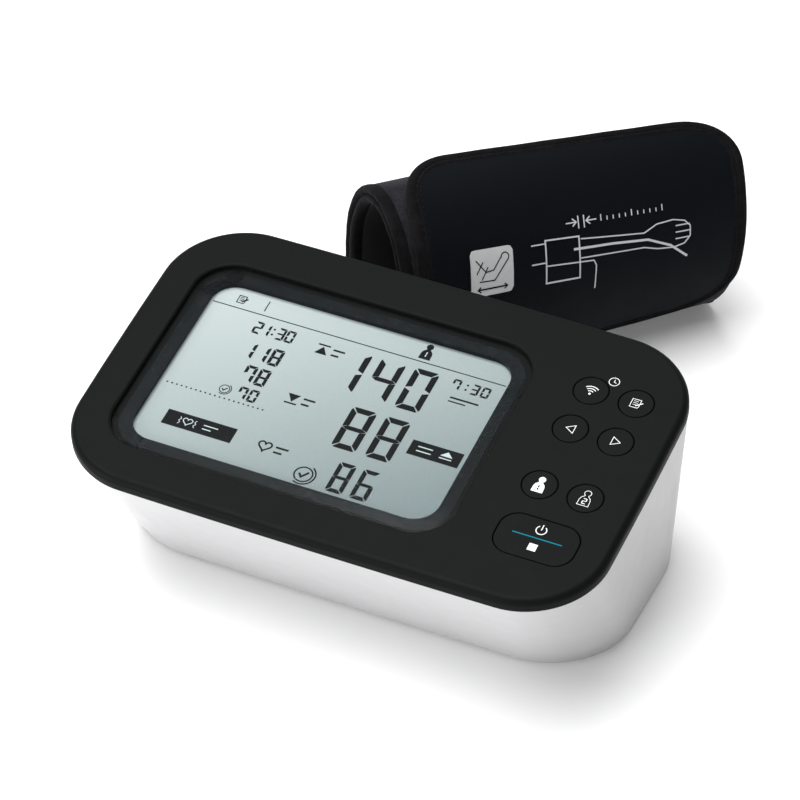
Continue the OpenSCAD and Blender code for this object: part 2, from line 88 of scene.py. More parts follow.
def cover(points):
    """Points of the cover's own frame (right, up the slope, out of its top face), in the row frame."""
    u, v, n = np.asarray(points, float).T
    n = n + COVER_T
    y = CONSOLE_Y - DEPTH / 2 + v * COS - n * SIN
    return np.stack([u, y, FRONT_H + v * SIN + n * COS], 1)


def level(outline, z):
    """A flat outline at one height."""
    return np.column_stack([outline, np.full(len(outline), z)])


def rounded(centre, size, r, arc=16, side=1):
    """Rounded rectangle as a closed run of points, anticlockwise from its right side."""
    hw, hh = size[0] / 2, size[1] / 2
    points = []
    corners = [(1, 1, 0), (-1, 1, 90), (-1, -1, 180), (1, -1, 270)]
    for k, (sx, sy, a0) in enumerate(corners):
        a = np.radians(a0 + 90 * np.arange(arc + 1) / arc)
        run = np.stack([sx * (hw - r) + r * np.cos(a), sy * (hh - r) + r * np.sin(a)], 1)
        points.append(run)
        nx, ny, b0 = corners[(k + 1) % 4]
        b = math.radians(b0)
        end = np.array([nx * (hw - r) + r * math.cos(b), ny * (hh - r) + r * math.sin(b)])
        for m in range(1, side):
            points.append((run[-1] + (end - run[-1]) * m / side)[None])
    return np.concatenate(points) + np.array(centre)


def bowed(hw, y0, y1, r, inset=0.0):
    """Rounded rectangle whose sides bow outwards, drawn in by a margin."""
    hw, y0, y1, r = hw - inset, y0 + inset, y1 - inset, r - inset
    p = rounded((0, (y0 + y1) / 2), (2 * hw, y1 - y0), r, 24, 14)
    u, v = p[:, 0] / hw, (2 * p[:, 1] - y0 - y1) / (y1 - y0)
    return np.stack([p[:, 0] - BOW * u * v * v, p[:, 1] - BOW * v * u * u], 1)


def cover_outline(inset=0.0):
    return bowed(HALF_W, 0.0, COVER_L, CORNER, inset)


def foot_ring(inset, z):
    ring = bowed(FOOT_HALF, FOOT_FRONT, FOOT_BACK, FOOT_CORNER, inset)
    return level(ring + np.array([0, CONSOLE_Y]), z)


# ---- Mesh building


def mesh_object(name, verts, faces, material=None, smooth=True, sharp=None):
    """A new object from points in millimetres. sharp is the angle above which an edge stays hard."""
    mesh = bpy.data.meshes.new(name)
    mesh.from_pydata([tuple(v) for v in np.asarray(verts) * MM], [], faces)
    mesh.validate()
    obj = bpy.data.objects.new(name, mesh)
    scene.collection.objects.link(obj)
    if material:
        mesh.materials.append(material)
    finish_shading(obj, smooth, sharp)
    return obj


def finish_shading(obj, smooth=True, sharp=None):
    mesh = obj.data
    mesh.polygons.foreach_set("use_smooth", [smooth] * len(mesh.polygons))
    if sharp is not None:
        mesh.set_sharp_from_angle(angle=math.radians(sharp))
    mesh.update()


def freeze(obj):
    """Applies the object's modifiers to its mesh."""
    bpy.context.view_layer.update()
    evaluated = obj.evaluated_get(bpy.context.evaluated_depsgraph_get())
    mesh = bpy.data.meshes.new_from_object(evaluated)
    obj.modifiers.clear()
    obj.data = mesh
    return obj


def loft_data(rings, cap=True):
    """Closed rings of equally many points joined in order, bottom first, with both ends closed."""
    n = len(rings[0])
    verts = np.concatenate(rings)
    faces = []
    for k in range(len(rings) - 1):
        for i in range(n):
            j = (i + 1) % n
            faces.append((k * n + i, k * n + j, (k + 1) * n + j, (k + 1) * n + i))
    if cap:
        faces.append(tuple(range(n - 1, -1, -1)))
        faces.append(tuple((len(rings) - 1) * n + i for i in range(n)))
    return verts, faces


def join_data(parts):
    verts, faces, start = [], [], 0
    for v, f in parts:
        verts.append(np.asarray(v))
        faces += [tuple(i + start for i in face) for face in f]
        start += len(v)
    return np.concatenate(verts), faces


def box_data(low, high):
    (x0, y0, z0), (x1, y1, z1) = low, high
    ring = np.array([[x0, y0], [x1, y0], [x1, y1], [x0, y1]])
    return loft_data([level(ring, z0), level(ring, z1)])


def rod_data(base, axis, length, radius, steps=48):
    """A round bar from base along X, Y or Z."""
    a = 2 * math.pi * np.arange(steps) / steps
    c, s = radius * np.cos(a), radius * np.sin(a)
    zero = np.zeros(steps)
    ring = {"x": [zero, c, s], "y": [s, zero, c], "z": [c, s, zero]}[axis]
    ring = np.stack(ring, 1) + np.array(base)
    step = np.array([axis == "x", axis == "y", axis == "z"], float) * length
    return loft_data([ring, ring + step])


def cut(obj, parts):
    """Takes closed shapes out of an object."""
    cutter = mesh_object("cutter", *join_data(parts))
    modifier = obj.modifiers.new("cut", "BOOLEAN")
    modifier.operation, modifier.solver, modifier.object = "DIFFERENCE", "EXACT", cutter
    freeze(obj)
    bpy.data.objects.remove(cutter)


def weigh_normals(obj):
    """Makes a face's size decide the shading along its rim, so that a flat face stays flat."""
    modifier = obj.modifiers.new("weights", "WEIGHTED_NORMAL")
    modifier.keep_sharp = True
    return obj


# ---- Materials


class Nodes:
    """A small helper to write a shader."""

    def __init__(self, name):
        self.material = bpy.data.materials.new(name)
        self.material.use_nodes = True
        self.tree = self.material.node_tree
        self.shader = self.tree.nodes["Principled BSDF"]
        self.coords = self.add("ShaderNodeTexCoord").outputs["Object"]

    def add(self, kind, links=(), **settings):
        node = self.tree.nodes.new(kind)
        for key, value in settings.items():
            setattr(node, key, value)
        for socket, source in dict(links).items():
            if isinstance(source, bpy.types.NodeSocket):
                self.tree.links.new(source, node.inputs[socket])
            else:
                node.inputs[socket].default_value = source
        return node

    def link(self, socket, source):
        self.tree.links.new(source, self.shader.inputs[socket])

    def settle(self, sockets):
        """Sets the shader's own sockets, named with underscores for spaces."""
        for socket, value in sockets.items():
            self.shader.inputs[socket.replace("_", " ")].default_value = value

    def noise(self, scale, detail=2.0, roughness=0.5, coords=None):
        links = {"Vector": coords or self.coords, "Scale": scale}
        links.update({"Detail": detail, "Roughness": roughness})
        return self.add("ShaderNodeTexNoise", links).outputs["Fac"]

    def spread(self, value, low, high, start=0.0, end=1.0):
        links = {"Value": value, "From Min": start, "From Max": end, "To Min": low}
        return self.add("ShaderNodeMapRange", {**links, "To Max": high}).outputs["Result"]

    def math(self, operation, a, b):
        return self.add("ShaderNodeMath", {0: a, 1: b}, operation=operation).outputs[0]

    def tint(self, value, dark, light):
        """A colour between two, by a value from 0 to 1."""
        node = self.add("ShaderNodeMix", data_type="RGBA")
        self.tree.links.new(value, node.inputs["Factor"])
        ends = {"A": (*dark, 1), "B": (*light, 1)}
        for socket in node.inputs:
            if socket.type == "RGBA":
                socket.default_value = ends[socket.name]
        return [o for o in node.outputs if o.type == "RGBA"][0]

    def bump(self, height, strength, distance, below=None):
        links = {"Height": height, "Strength": strength, "Distance": distance}
        if below is not None:
            links["Normal"] = below
        return self.add("ShaderNodeBump", links).outputs["Normal"]


def shade(color, factor):
    return tuple(min(1.0, c * factor) for c in color[:3])


def moulded(name, color, rough, grain=2600.0, depth=0.00002, vary=0.05, **sockets):
    """Moulded plastic, rubber or foam: an even colour with a fine spark-eroded grain."""
    n = Nodes(name)
    cloud = n.noise(45.0, 3.0)
    n.link("Base Color", n.tint(cloud, shade(color, 1 - vary), shade(color, 1 + vary)))
    n.link("Roughness", n.spread(n.noise(160.0, 3.0), rough - 0.04, rough + 0.04, 0.3, 0.7))
    n.link("Normal", n.bump(n.noise(grain, 2.0, 0.6), 0.35, depth))
    n.settle(sockets)
    return n.material


def metal(name, color, rough):
    """Plated or drawn metal, with fine lines along it."""
    n = Nodes(name)
    lines = n.add("ShaderNodeMapping", {"Vector": n.coords, "Scale": (90, 2600, 2600)})
    streaks = n.noise(1.0, 4.0, 0.6, lines.outputs["Vector"])
    n.link("Base Color", n.tint(streaks, shade(color, 0.85), shade(color, 1.08)))
    n.link("Roughness", n.spread(streaks, rough - 0.08, rough + 0.1, 0.3, 0.7))
    n.link("Normal", n.bump(streaks, 0.2, 0.00002))
    n.shader.inputs["Metallic"].default_value = 1.0
    return n.material


def cloth_weave(name, color, rough, pitch, sheen, vary=0.1, depth=0.00006, **sockets):
    """Plain woven fabric, drawn in the flat coordinates stored on its mesh in millimetres."""
    n = Nodes(name)
    flat = n.add("ShaderNodeAttribute", attribute_name="flat").outputs["Vector"]
    turned = n.add("ShaderNodeMapping", {"Vector": flat, "Scale": (1 / pitch,) * 3})
    axes = n.add("ShaderNodeSeparateXYZ", {"Vector": turned.outputs["Vector"]})
    waves = [n.math("SINE", n.math("MULTIPLY", a, 2 * math.pi), 0.0) for a in axes.outputs[:2]]
    weave = n.spread(n.math("MULTIPLY", *waves), 0.0, 1.0, -1.0, 1.0)
    cloud = n.noise(38.0, 4.0, 0.6)
    mixed = n.math("ADD", n.math("MULTIPLY", weave, 0.4), n.math("MULTIPLY", cloud, 0.6))
    n.link("Base Color", n.tint(mixed, shade(color, 1 - vary), shade(color, 1 + vary)))
    n.link("Roughness", n.spread(cloud, rough - 0.05, rough + 0.06, 0.3, 0.7))
    creases = n.bump(n.noise(70.0, 3.0, 0.55), 0.25, 0.0006)
    n.link("Normal", n.bump(weave, 0.5, depth, creases))
    n.shader.inputs["Sheen Weight"].default_value = sheen
    n.shader.inputs["Sheen Roughness"].default_value = 0.4
    n.settle(sockets)
    return n.material


def brushed_pile(name, dark, light, sheen, grain=1500.0, depth=0.00025):
    """Brushed loops: fine tangled fibre over soft patches where the pile lies another way."""
    n = Nodes(name)
    fibre = n.noise(grain, 5.0, 0.75)
    patches = n.noise(220.0, 4.0, 0.6)
    mixed = n.math("ADD", n.math("MULTIPLY", fibre, 0.65), n.math("MULTIPLY", patches, 0.35))
    n.link("Base Color", n.tint(n.spread(mixed, 0.0, 1.0, 0.32, 0.68), dark, light))
    n.link("Normal", n.bump(fibre, 0.8, depth, n.bump(patches, 0.5, 0.0005)))
    n.shader.inputs["Roughness"].default_value = 0.95
    n.shader.inputs["Specular IOR Level"].default_value = 0.06
    n.shader.inputs["Sheen Weight"].default_value = sheen
    n.shader.inputs["Sheen Roughness"].default_value = 0.35
    n.shader.inputs["Sheen Tint"].default_value = (0.62, 0.62, 0.7, 1)
    return n.material


def clear_window(name):
    """Clear plastic sheet: what is under it shows, with a faint gloss on top."""
    n = Nodes(name)
    tree = n.tree
    grain = n.bump(n.noise(30.0, 1.0), 0.01, 0.00002)
    gloss = n.add("ShaderNodeBsdfGlossy", {"Roughness": 0.06, "Normal": grain})
    through = n.add("ShaderNodeBsdfTransparent", {"Color": (0.97, 0.985, 0.985, 1)})
    facing = n.add("ShaderNodeLayerWeight", {"Blend": 0.1}).outputs["Facing"]
    mix = n.add("ShaderNodeMixShader", {0: n.spread(facing, 0.002, 0.12), 1: through.outputs[0]})
    tree.links.new(gloss.outputs[0], mix.inputs[2])
    output = next(x for x in tree.nodes if x.type == "OUTPUT_MATERIAL")
    tree.links.new(mix.outputs[0], output.inputs["Surface"])
    tree.nodes.remove(n.shader)
    return n.material


# LCD_PAINTED_SHADE is the dark end of the display's painted glare: the ground is painted pale at the top left
# and dark at the bottom right.
LCD_PALE, LCD_PAINTED_SHADE = (0.48, 0.515, 0.51), (0.105, 0.142, 0.15)


def lcd_panel(name):
    """The display's ground: pale grey-blue with a faint sparkle. Painted glare makes it lighter at the top
    left, painted shade makes it darker towards the bottom right, and painted shadow darkens its left and top
    edges.
    """
    n = Nodes(name)
    axes = n.add("ShaderNodeSeparateXYZ", {"Vector": n.coords})
    low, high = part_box("lcd_glass")
    # Painted glare and shade: across and down together run the ground from pale at the top left to dark at the
    # bottom right.
    across = n.spread(axes.outputs[0], 0.0, 0.5, low.x, high.x)
    down = n.spread(axes.outputs[1], 0.5, 0.0, low.y, high.y)
    painted_glare = n.math("ADD", across, down)
    sparkle = n.spread(n.noise(3200.0, 2.0), -0.06, 0.06, 0.3, 0.7)
    hidden, fade = 0.0034, 0.0016  # m: how far the mask covers the glass, and its shadow past that
    # Painted shadow: the ground is darkened along its left and top edges, just past where the mask covers it.
    edge_shadow_parts = [n.spread(axes.outputs[0], 0.0, 1.0, low.x + hidden, low.x + hidden + fade)]
    edge_shadow_parts.append(n.spread(axes.outputs[1], 0.0, 1.0, high.y - hidden, high.y - hidden - fade))
    edge = n.spread(n.math("MULTIPLY", *edge_shadow_parts), 0.45, 1.0)
    ground = n.tint(n.math("ADD", painted_glare, sparkle), LCD_PALE, LCD_PAINTED_SHADE)
    shaded = n.add("ShaderNodeVectorMath", {0: ground}, operation="SCALE")
    n.tree.links.new(edge, shaded.inputs["Scale"])
    n.link("Base Color", shaded.outputs[0])
    n.link("Normal", n.bump(n.noise(2500.0, 1.0), 0.1, 0.00001))
    n.shader.inputs["Roughness"].default_value = 0.45
    return n.material


BLACK = (0.0055, 0.0062, 0.0062)
MATTE, INKY = {"Specular_IOR_Level": 0.045}, {"Specular_IOR_Level": 0.1}
MATERIALS = {
    "housing_white": moulded("housing_white", (0.515, 0.515, 0.523), 0.36, vary=0.012),
    "cover_black": moulded("cover_black", BLACK, 0.45, 3400.0, 0.00003, 0.08, **MATTE),
    "button_black": moulded("button_black", BLACK, 0.45, 3400.0, 0.00002, 0.08, **MATTE),
    "mask_black": moulded("mask_black", (0.006, 0.008, 0.009), 0.25, 3000.0, 0.000002, 0.08, **INKY),
    "window_clear": clear_window("window_clear"),
    "lcd_grey": lcd_panel("lcd_grey"),
    "ink_black": moulded("ink_black", (0.004, 0.0045, 0.005), 0.6, 2000.0, 0.000005, **INKY),
    "ink_pale": moulded("ink_pale", (0.5, 0.56, 0.56), 0.5, 2000.0, 0.000005),
    "ink_white": moulded("ink_white", (0.86, 0.87, 0.87), 0.55, 2000.0, 0.000005),
    "ink_grey": moulded("ink_grey", (0.55, 0.58, 0.6), 0.6, 2000.0, 0.000008),
    "ink_teal": moulded(
        "ink_teal", (0.003, 0.19, 0.26), 0.6, 2000.0, 0.000005, Specular_IOR_Level=0.05
    ),
    "nylon_black": cloth_weave("nylon_black", (0.0033, 0.0044, 0.0062), 0.65, 0.45, 0.02, **MATTE),
    "lining_fabric": cloth_weave("lining_fabric", (0.005, 0.005, 0.0055), 0.6, 0.5, 0.05),
    "tape_fabric": brushed_pile("tape_fabric", (0.002, 0.002, 0.0024), (0.011, 0.011, 0.012), 0.05),
    "pile_fabric": brushed_pile("pile_fabric", (0.005, 0.005, 0.006), (0.028, 0.026, 0.031), 0.2),
    "port_black": moulded("port_black", (0.012, 0.012, 0.013), 0.5, Specular_IOR_Level=0.25),
    "patch_grey": moulded("patch_grey", (0.55, 0.57, 0.57), 0.6, 1800.0, 0.00001, 0.03),
    "thread_black": brushed_pile("thread_black", (0.003, 0.003, 0.0035), (0.012, 0.012, 0.013), 0.1),
}


def slot_material(slot):
    """The material of one of the record's slots, for the CAD nodes that stay."""
    name = slot["slot"]
    if name not in MATERIALS:
        color, kind = slot["base_color"][:3], slot["class"]
        if kind in ("brushed_steel", "brass", "painted_metal", "cast_iron"):
            MATERIALS[name] = metal(name, color, 0.35 if kind != "cast_iron" else 0.6)
        elif kind == "rubber":
            MATERIALS[name] = moulded(name, color, 0.75, 1600.0, 0.00006, 0.1)
        else:
            MATERIALS[name] = moulded(name, color, 0.45, 2400.0, 0.00003, 0.06)
    return MATERIALS[name]


slots = {slot["slot"]: slot for slot in record["materials"]}
for part in record["subparts"]:
    node = frame["nodes"][part["node"]]
    node.data.materials.clear()
    node.data.materials.append(slot_material(slots[part["material_slot"]]))


def place(obj, body, replaced=()):
    """Puts a piece on its body and the CAD nodes that it stands for."""
    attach(obj, body)
    if replaced:
        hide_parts(*replaced)
    return obj


# ---- Housing

FOOT_ROUND, REVEAL = 1.6, 0.15
housing_top = cover(level(cover_outline(REVEAL), -COVER_T - 0.1))
foot = foot_ring(0.0, FOOT_H + FOOT_ROUND)
rings = []
for k in range(6):
    a = math.radians(90 * k / 6)
    rings.append(foot_ring(FOOT_ROUND * (1 - math.sin(a)), FOOT_H + FOOT_ROUND * (1 - math.cos(a))))
rings += [foot + (housing_top - foot) * k / 8 for k in range(8)] + [housing_top]
housing = mesh_object("housing_shell", *loft_data(rings), MATERIALS["housing_white"])
inner_foot = foot_ring(WALL, FOOT_H + 3.6)
inner_top = cover(level(cover_outline(REVEAL + WALL), 0.0))
LID_RIGHT, LID_FRONT, LID_BACK = -13.7, CONSOLE_Y - 12.0, CONSOLE_Y + 48.0
LID_TOP, TONGUE, GAP, OUTSIDE = 2.9, 2.0, 0.3, -2 * HALF_W
AIR_SOCKET_AT, AIR_SOCKET_R = (CONSOLE_Y + 20, 30.0), 5.6
POWER_SOCKET_AT, POWER_SOCKET_R = (25.0, 20.0), 4.4
SCREWS_AT, SCREW_WELL_R = [(-50, 55), (50, 55), (49, -19), (85, 3)], 3.1
FEET_AT, FOOT_WELL_R = [(-55, -20), (-66, 56), (70, -12), (66, 50)], 4.55
hollow = [
    loft_data([inner_foot, inner_top]),
    # The battery cover's slot with its tongues, its opening, and the room for the cells
    box_data(
        (OUTSIDE, LID_FRONT - TONGUE - GAP, 1.6), (LID_RIGHT + GAP, LID_BACK + TONGUE + GAP, LID_TOP)
    ),
    box_data((OUTSIDE, LID_FRONT - GAP, -1.0), (LID_RIGHT + GAP, LID_BACK + GAP, 1.7)),
    box_data((-70.8, CONSOLE_Y - 12.5, 2.0), (-14.8, CONSOLE_Y + 48.5, 8.0)),
    rod_data((OUTSIDE, *AIR_SOCKET_AT), "x", HALF_W + 20, AIR_SOCKET_R),
    rod_data((POWER_SOCKET_AT[0], CONSOLE_Y + 55, POWER_SOCKET_AT[1]), "y", 40.0, POWER_SOCKET_R),
]
for x, y in SCREWS_AT:
    hollow.append(rod_data((x, CONSOLE_Y + y, -1.0), "z", 11.0, SCREW_WELL_R, 32))
for x, y in FEET_AT:
    hollow.append(rod_data((x, CONSOLE_Y + y, -1.0), "z", 3.0, FOOT_WELL_R, 40))
for shape in hollow:
    cut(housing, [shape])
finish_shading(housing, True, 40)
weigh_normals(housing)
place(housing, "console", ["lower_housing"])

# ---- Cover

SKIRT = -COVER_T - 0.8  # the skirt's lower edge laps over the housing's rim
profile = [(SKIRT, 0.3), (SKIRT + 0.15, 0.08), (SKIRT + 0.35, 0.0)]
for k in range(10):
    a = math.radians(90 * k / 9)
    profile.append((ROUND_OVER * (math.sin(a) - 1), ROUND_OVER * (1 - math.cos(a))))
slab = loft_data([cover(level(cover_outline(inset), n)) for n, inset in profile])
panel = mesh_object("cover_panel", *slab, MATERIALS["cover_black"])


def hole(outline, depths):
    """A cutter from an outline that is a function of how far it is grown, and (depth, growth) pairs."""
    return loft_data([cover(level(outline(grow), n)) for n, grow in depths])


def lcd_outline(grow):
    size = (LCD_SIZE[0] + 2 * grow, LCD_SIZE[1] + 2 * grow)
    return rounded(LCD_AT, size, LCD_R + grow * 0.78)


def disc_outline(at, r):
    a = 2 * math.pi * np.arange(64) / 64
    return np.stack([at[0] + r * np.cos(a), at[1] + r * np.sin(a)], 1)


def start_outline(grow):
    size = (START_SIZE[0] + 2 * grow, START_SIZE[1] + 2 * grow)
    return rounded(START_AT, size, START_R + grow, 16)


HOLE_RIM = [(-6.0, 0.0), (-0.3, 0.0), (-0.12, 0.06), (-0.02, 0.2), (1.0, 0.3)]
holes = [
    hole(
        lcd_outline,
        [(-6, 4.4), (-2.2, 4.4), (-2.2, SURROUND + 0.05), (-0.9, SURROUND + 0.05)]
        + [(-0.45, SURROUND + 0.2), (-0.12, SURROUND + 0.6), (0, SURROUND + 1.0), (1, SURROUND + 1.6)],
    ),
    hole(lambda g: start_outline(BUTTON_GAP + g), HOLE_RIM),
]
for at in BUTTON_AT.values():
    holes.append(hole(lambda g, at=at: disc_outline(at, BUTTON_R + BUTTON_GAP + g), HOLE_RIM))
cut(panel, holes)
finish_shading(panel, True, 28)
weigh_normals(panel)
place(panel, "console", ["front_cover"])

# ---- Buttons: a cap with a rounded rim, and the flange that holds it under the cover

CAP = [(-5.5, 1.4), (-4.5, 1.4), (-4.5, 0.0)]
CAP += [(-0.35, 0.0), (-0.15, -0.05), (-0.04, -0.18), (0.0, -0.38)]


def button_cap(name, outline):
    rings = [cover(level(outline(grow), n)) for n, grow in CAP]
    cap = mesh_object(name + "_cap", *loft_data(rings), MATERIALS["button_black"], True, 50)
    weigh_normals(cap)
    return place(cap, name, [name])


for name, at in BUTTON_AT.items():
    button_cap(name, lambda g, at=at: disc_outline(at, BUTTON_R + g))
button_cap("start_button", start_outline)

# ---- Printed marks

SEGMENTS = {
    "0": "abcdef", "1": "bc", "2": "abged", "3": "abgcd", "4": "fgbc", "5": "afgcd",
    "6": "afgedc", "7": "fabc", "8": "abcdefg", "9": "abcdfg",
}  # fmt: skip


def segment_shapes(w, h, s, g):
    """The seven bars of a display digit in a box w wide and h high, s thick, with gaps g."""
    m = h / 2
    r = s * 0.32
    left = [(0.4 * r, h - r), (s, h - s - g), (s, m + s / 2), (0, m + g), (0, h - 2.2 * r)]

    def turn(shape, mirror_x, mirror_y):
        return [(w - x if mirror_x else x, h - y if mirror_y else y) for x, y in shape]

    top = [(1.6 * r, h), (w - 1.6 * r, h), (w - r, h - 0.4 * r)]
    top += [(w - s - g, h - s), (s + g, h - s), (r, h - 0.4 * r)]
    middle = [(g, m), (0.8 * s, m + 0.48 * s - g), (w - 0.8 * s, m + 0.48 * s - g), (w - g, m)]
    middle += [(w - 0.8 * s, m - 0.48 * s + g), (0.8 * s, m - 0.48 * s + g)]
    return {
        "a": top, "d": turn(top, False, True), "f": left, "b": turn(left, True, False),
        "e": turn(left, False, True), "c": turn(left, True, True), "g": middle,
    }  # fmt: skip


class Marks:
    """Thin flat shapes laid on a surface, each a little thicker than the last layer under it."""

    def __init__(self, surface, low, high, longest=None, weight=1.0):
        self.surface, self.low, self.high, self.longest = surface, low, high, longest
        self.weight = weight
        self.parts = []

    def poly(self, points):
        outline = np.array(points, float)
        x, y = outline.T
        if np.sum(x * np.roll(y, -1) - np.roll(x, -1) * y) < 0:
            outline = outline[::-1]
        self.parts.append(loft_data([level(outline, self.low), level(outline, self.high)]))

    def line(self, points, width, closed=False):
        p = [np.array(q, float) for q in points]
        if self.longest:
            ends = p + [p[0]] if closed else p
            p = []
            for a, b in zip(ends, ends[1:]):
                steps = max(1, math.ceil(np.linalg.norm(b - a) / self.longest))
                p += [a + (b - a) * k / steps for k in range(steps)]
            p += [] if closed else [ends[-1]]
        p, n, half = np.array(p), len(p), self.weight * width / 2
        left, right = [], []
        for i in range(n):
            before = p[i] - p[i - 1] if i or closed else p[1] - p[0]
            after = p[(i + 1) % n] - p[i] if i < n - 1 or closed else before
            a, b = before / np.linalg.norm(before), after / np.linalg.norm(after)
            normal = np.array([-(a + b)[1], (a + b)[0]])
            normal /= max(np.linalg.norm(normal), 1e-9)
            reach = half / max(0.5, abs(normal @ np.array([-a[1], a[0]])))
            left.append(p[i] + normal * reach)
            right.append(p[i] - normal * reach)
        corners = [(r, self.low) for r in (left, right)] + [(r, self.high) for r in (right, left)]
        verts = np.concatenate([level(np.array(r), z) for r, z in corners])
        faces = []
        for i in range(n if closed else n - 1):
            j = (i + 1) % n
            for c in range(4):
                d = (c + 1) % 4
                faces.append((c * n + i, d * n + i, d * n + j, c * n + j))
        if not closed:
            faces.append((3 * n, 2 * n, n, 0))
            faces.append((n - 1, 2 * n - 1, 3 * n - 1, 4 * n - 1))
        self.parts.append((verts, faces))

    def disc(self, at, r, steps=28):
        a = 2 * math.pi * np.arange(steps) / steps
        self.poly(np.stack([at[0] + r * np.cos(a), at[1] + r * np.sin(a)], 1))

    def arc(self, at, r, width, a0=0, a1=360, steps=32):
        closed = a1 - a0 >= 360
        a = np.radians(a0 + (a1 - a0) * np.arange(steps + (not closed)) / steps)
        self.line(np.stack([at[0] + r * np.cos(a), at[1] + r * np.sin(a)], 1), width, closed)

    def digits(self, text, left, base, w, h, stroke, pitch):
        """Display digits from left to right, one for each pitch."""
        shapes = segment_shapes(w, h, stroke, stroke * 0.09)
        for k, digit in enumerate(text):
            for bar in SEGMENTS[digit]:
                self.poly([(left + k * pitch + a, base + b) for a, b in shapes[bar]])

    def build(self, name, material, body, slot):
        verts, faces = join_data(self.parts)
        obj = mesh_object(name, self.surface(verts), faces, MATERIALS[material], False)
        if body:
            place(obj, body)
        return obj


def heart(at, size):
    """Outline of a plain heart."""
    t = 2 * math.pi * np.arange(36) / 36
    x = 16 * np.sin(t) ** 3
    y = 13 * np.cos(t) - 5 * np.cos(2 * t) - 2 * np.cos(3 * t) - np.cos(4 * t)
    return np.stack([at[0] + size * x / 32, at[1] + size * (y + 2.5) / 32], 1)


def person(at, size):
    """Outline of a head on shoulders: a round head over a bell-shaped body, from the base's middle."""
    x, y = at
    h = size / 6.4
    a = np.radians(np.arange(-60, 241, 20))
    head = [(x + 1.15 * h * math.cos(t), y + (5.3 + 1.15 * math.sin(t)) * h) for t in a]
    half = [(0.85, 3.9), (1.5, 3.3), (1.85, 2.3), (1.95, 0)]
    body = [(-a, b) for a, b in half] + half[::-1]
    return head + [(x + a * h, y + b * h) for a, b in body]


def notes(marks, at, s, line):
    """A sheet with lines on it and a pen across its corner."""
    x, y = at
    sheet = [(-1.5, -1.6), (0.9, -1.6), (1.2, -1.1), (1.2, 1.6), (-1.5, 1.6)]
    marks.line([(x + a * s, y + b * s) for a, b in sheet], line, True)
    for k in (0.9, 0.2, -0.5):
        marks.line([(x - 0.9 * s, y + k * s), (x + 0.5 * s, y + k * s)], line * 0.8)
    marks.line([(x + 0.1 * s, y - 0.9 * s), (x + 2.0 * s, y + 0.7 * s)], line * 1.8)


# The display: everything that the liquid crystal draws, in black on the pale ground
ink = Marks(cover, GLASS_N + 0.01, GLASS_N + 0.05)
ink.line([(-74.6, 88.0), (33.8, 88.0)], 0.36)
ink.line([(-56.1, 89.8), (-56.1, 94.6)], 0.36)
notes(ink, (-65.4, 92.0), 1.0, 0.34)
ink.digits("2", -56.3, 79.4, 3.1, 5.5, 0.85, 0)
ink.digits("1", -53.4, 79.4, 3.1, 5.5, 0.85, 0)
ink.digits("30", -47.8, 79.4, 3.1, 5.5, 0.85, 3.45)
for v in (81.0, 83.4):
    ink.disc((-49.1, v), 0.42, 12)
ink.digits("118", -55.3, 68.0, 4.1, 7.6, 1.15, 5.0)
ink.digits("78", -50.6, 58.1, 4.1, 7.6, 1.15, 4.95)
ink.digits("70", -48.5, 50.5, 3.2, 5.6, 0.9, 3.9)
for k in range(21):
    ink.disc((-72.7 + 35.3 * k / 20, 49.0), 0.33, 10)
for at, size in (((-12.8, 28.3), 3.1), ((-53.3, 52.9), 1.75)):
    ink.arc(at, size, size * 0.17)
    ink.arc(at, size * 1.34, size * 0.17, -120, 60)
    tick = [(-0.5, 0.05), (-0.12, -0.4), (0.5, 0.42)]
    ink.line([(at[0] + a * size, at[1] + b * size) for a, b in tick], size * 0.24)
ink.poly([(-66.7, 31.7), (-41.3, 31.7), (-41.3, 38.2), (-66.7, 38.2)])
ink.poly([(14.7, 49.0), (33.0, 49.0), (33.0, 55.4), (14.7, 55.4)])
ink.digits("140", -21.9, 66.3, 8.9, 18.6, 2.2, 12.2)
ink.digits("88", -9.85, 42.9, 8.9, 18.6, 2.2, 12.2)
ink.digits("86", -3.7, 24.7, 6.1, 13.1, 1.6, 8.7)
ink.digits("7", 16.7, 80.4, 2.9, 4.7, 0.75, 0)
ink.digits("30", 23.5, 80.4, 2.9, 4.7, 0.75, 3.75)
for v in (81.7, 83.8):
    ink.disc((21.9, v), 0.4, 12)
ink.poly(person((3.3, 89.3), 6.9))
# Plain signs and bars stand where the real display has words
for v, up in ((80.9, 1), (57.2, -1)):
    ink.poly([(-32.4, v - 2.0 * up), (-28.0, v - 2.0 * up), (-30.2, v + 1.4 * up)])
    ink.line([(-32.4, v + 2.1 * up), (-28.0, v + 2.1 * up)], 0.6)
    ink.line([(-26.6, v + 1.2), (-22.4, v + 1.2)], 0.75)
    ink.line([(-26.6, v - 1.2), (-23.8, v - 1.2)], 0.75)
ink.line(heart((-29.9, 34.6), 4.6), 0.6, True)
ink.line([(-26.2, 35.7), (-21.6, 35.7)], 0.75)
ink.line([(-26.2, 33.5), (-23.2, 33.5)], 0.75)
ink.line([(18.4, 76.9), (28.6, 76.9)], 0.7)
ink.line([(18.4, 75.2), (24.6, 75.2)], 0.5)
ink.build("display_digits", "ink_black", "console", "mask_black")

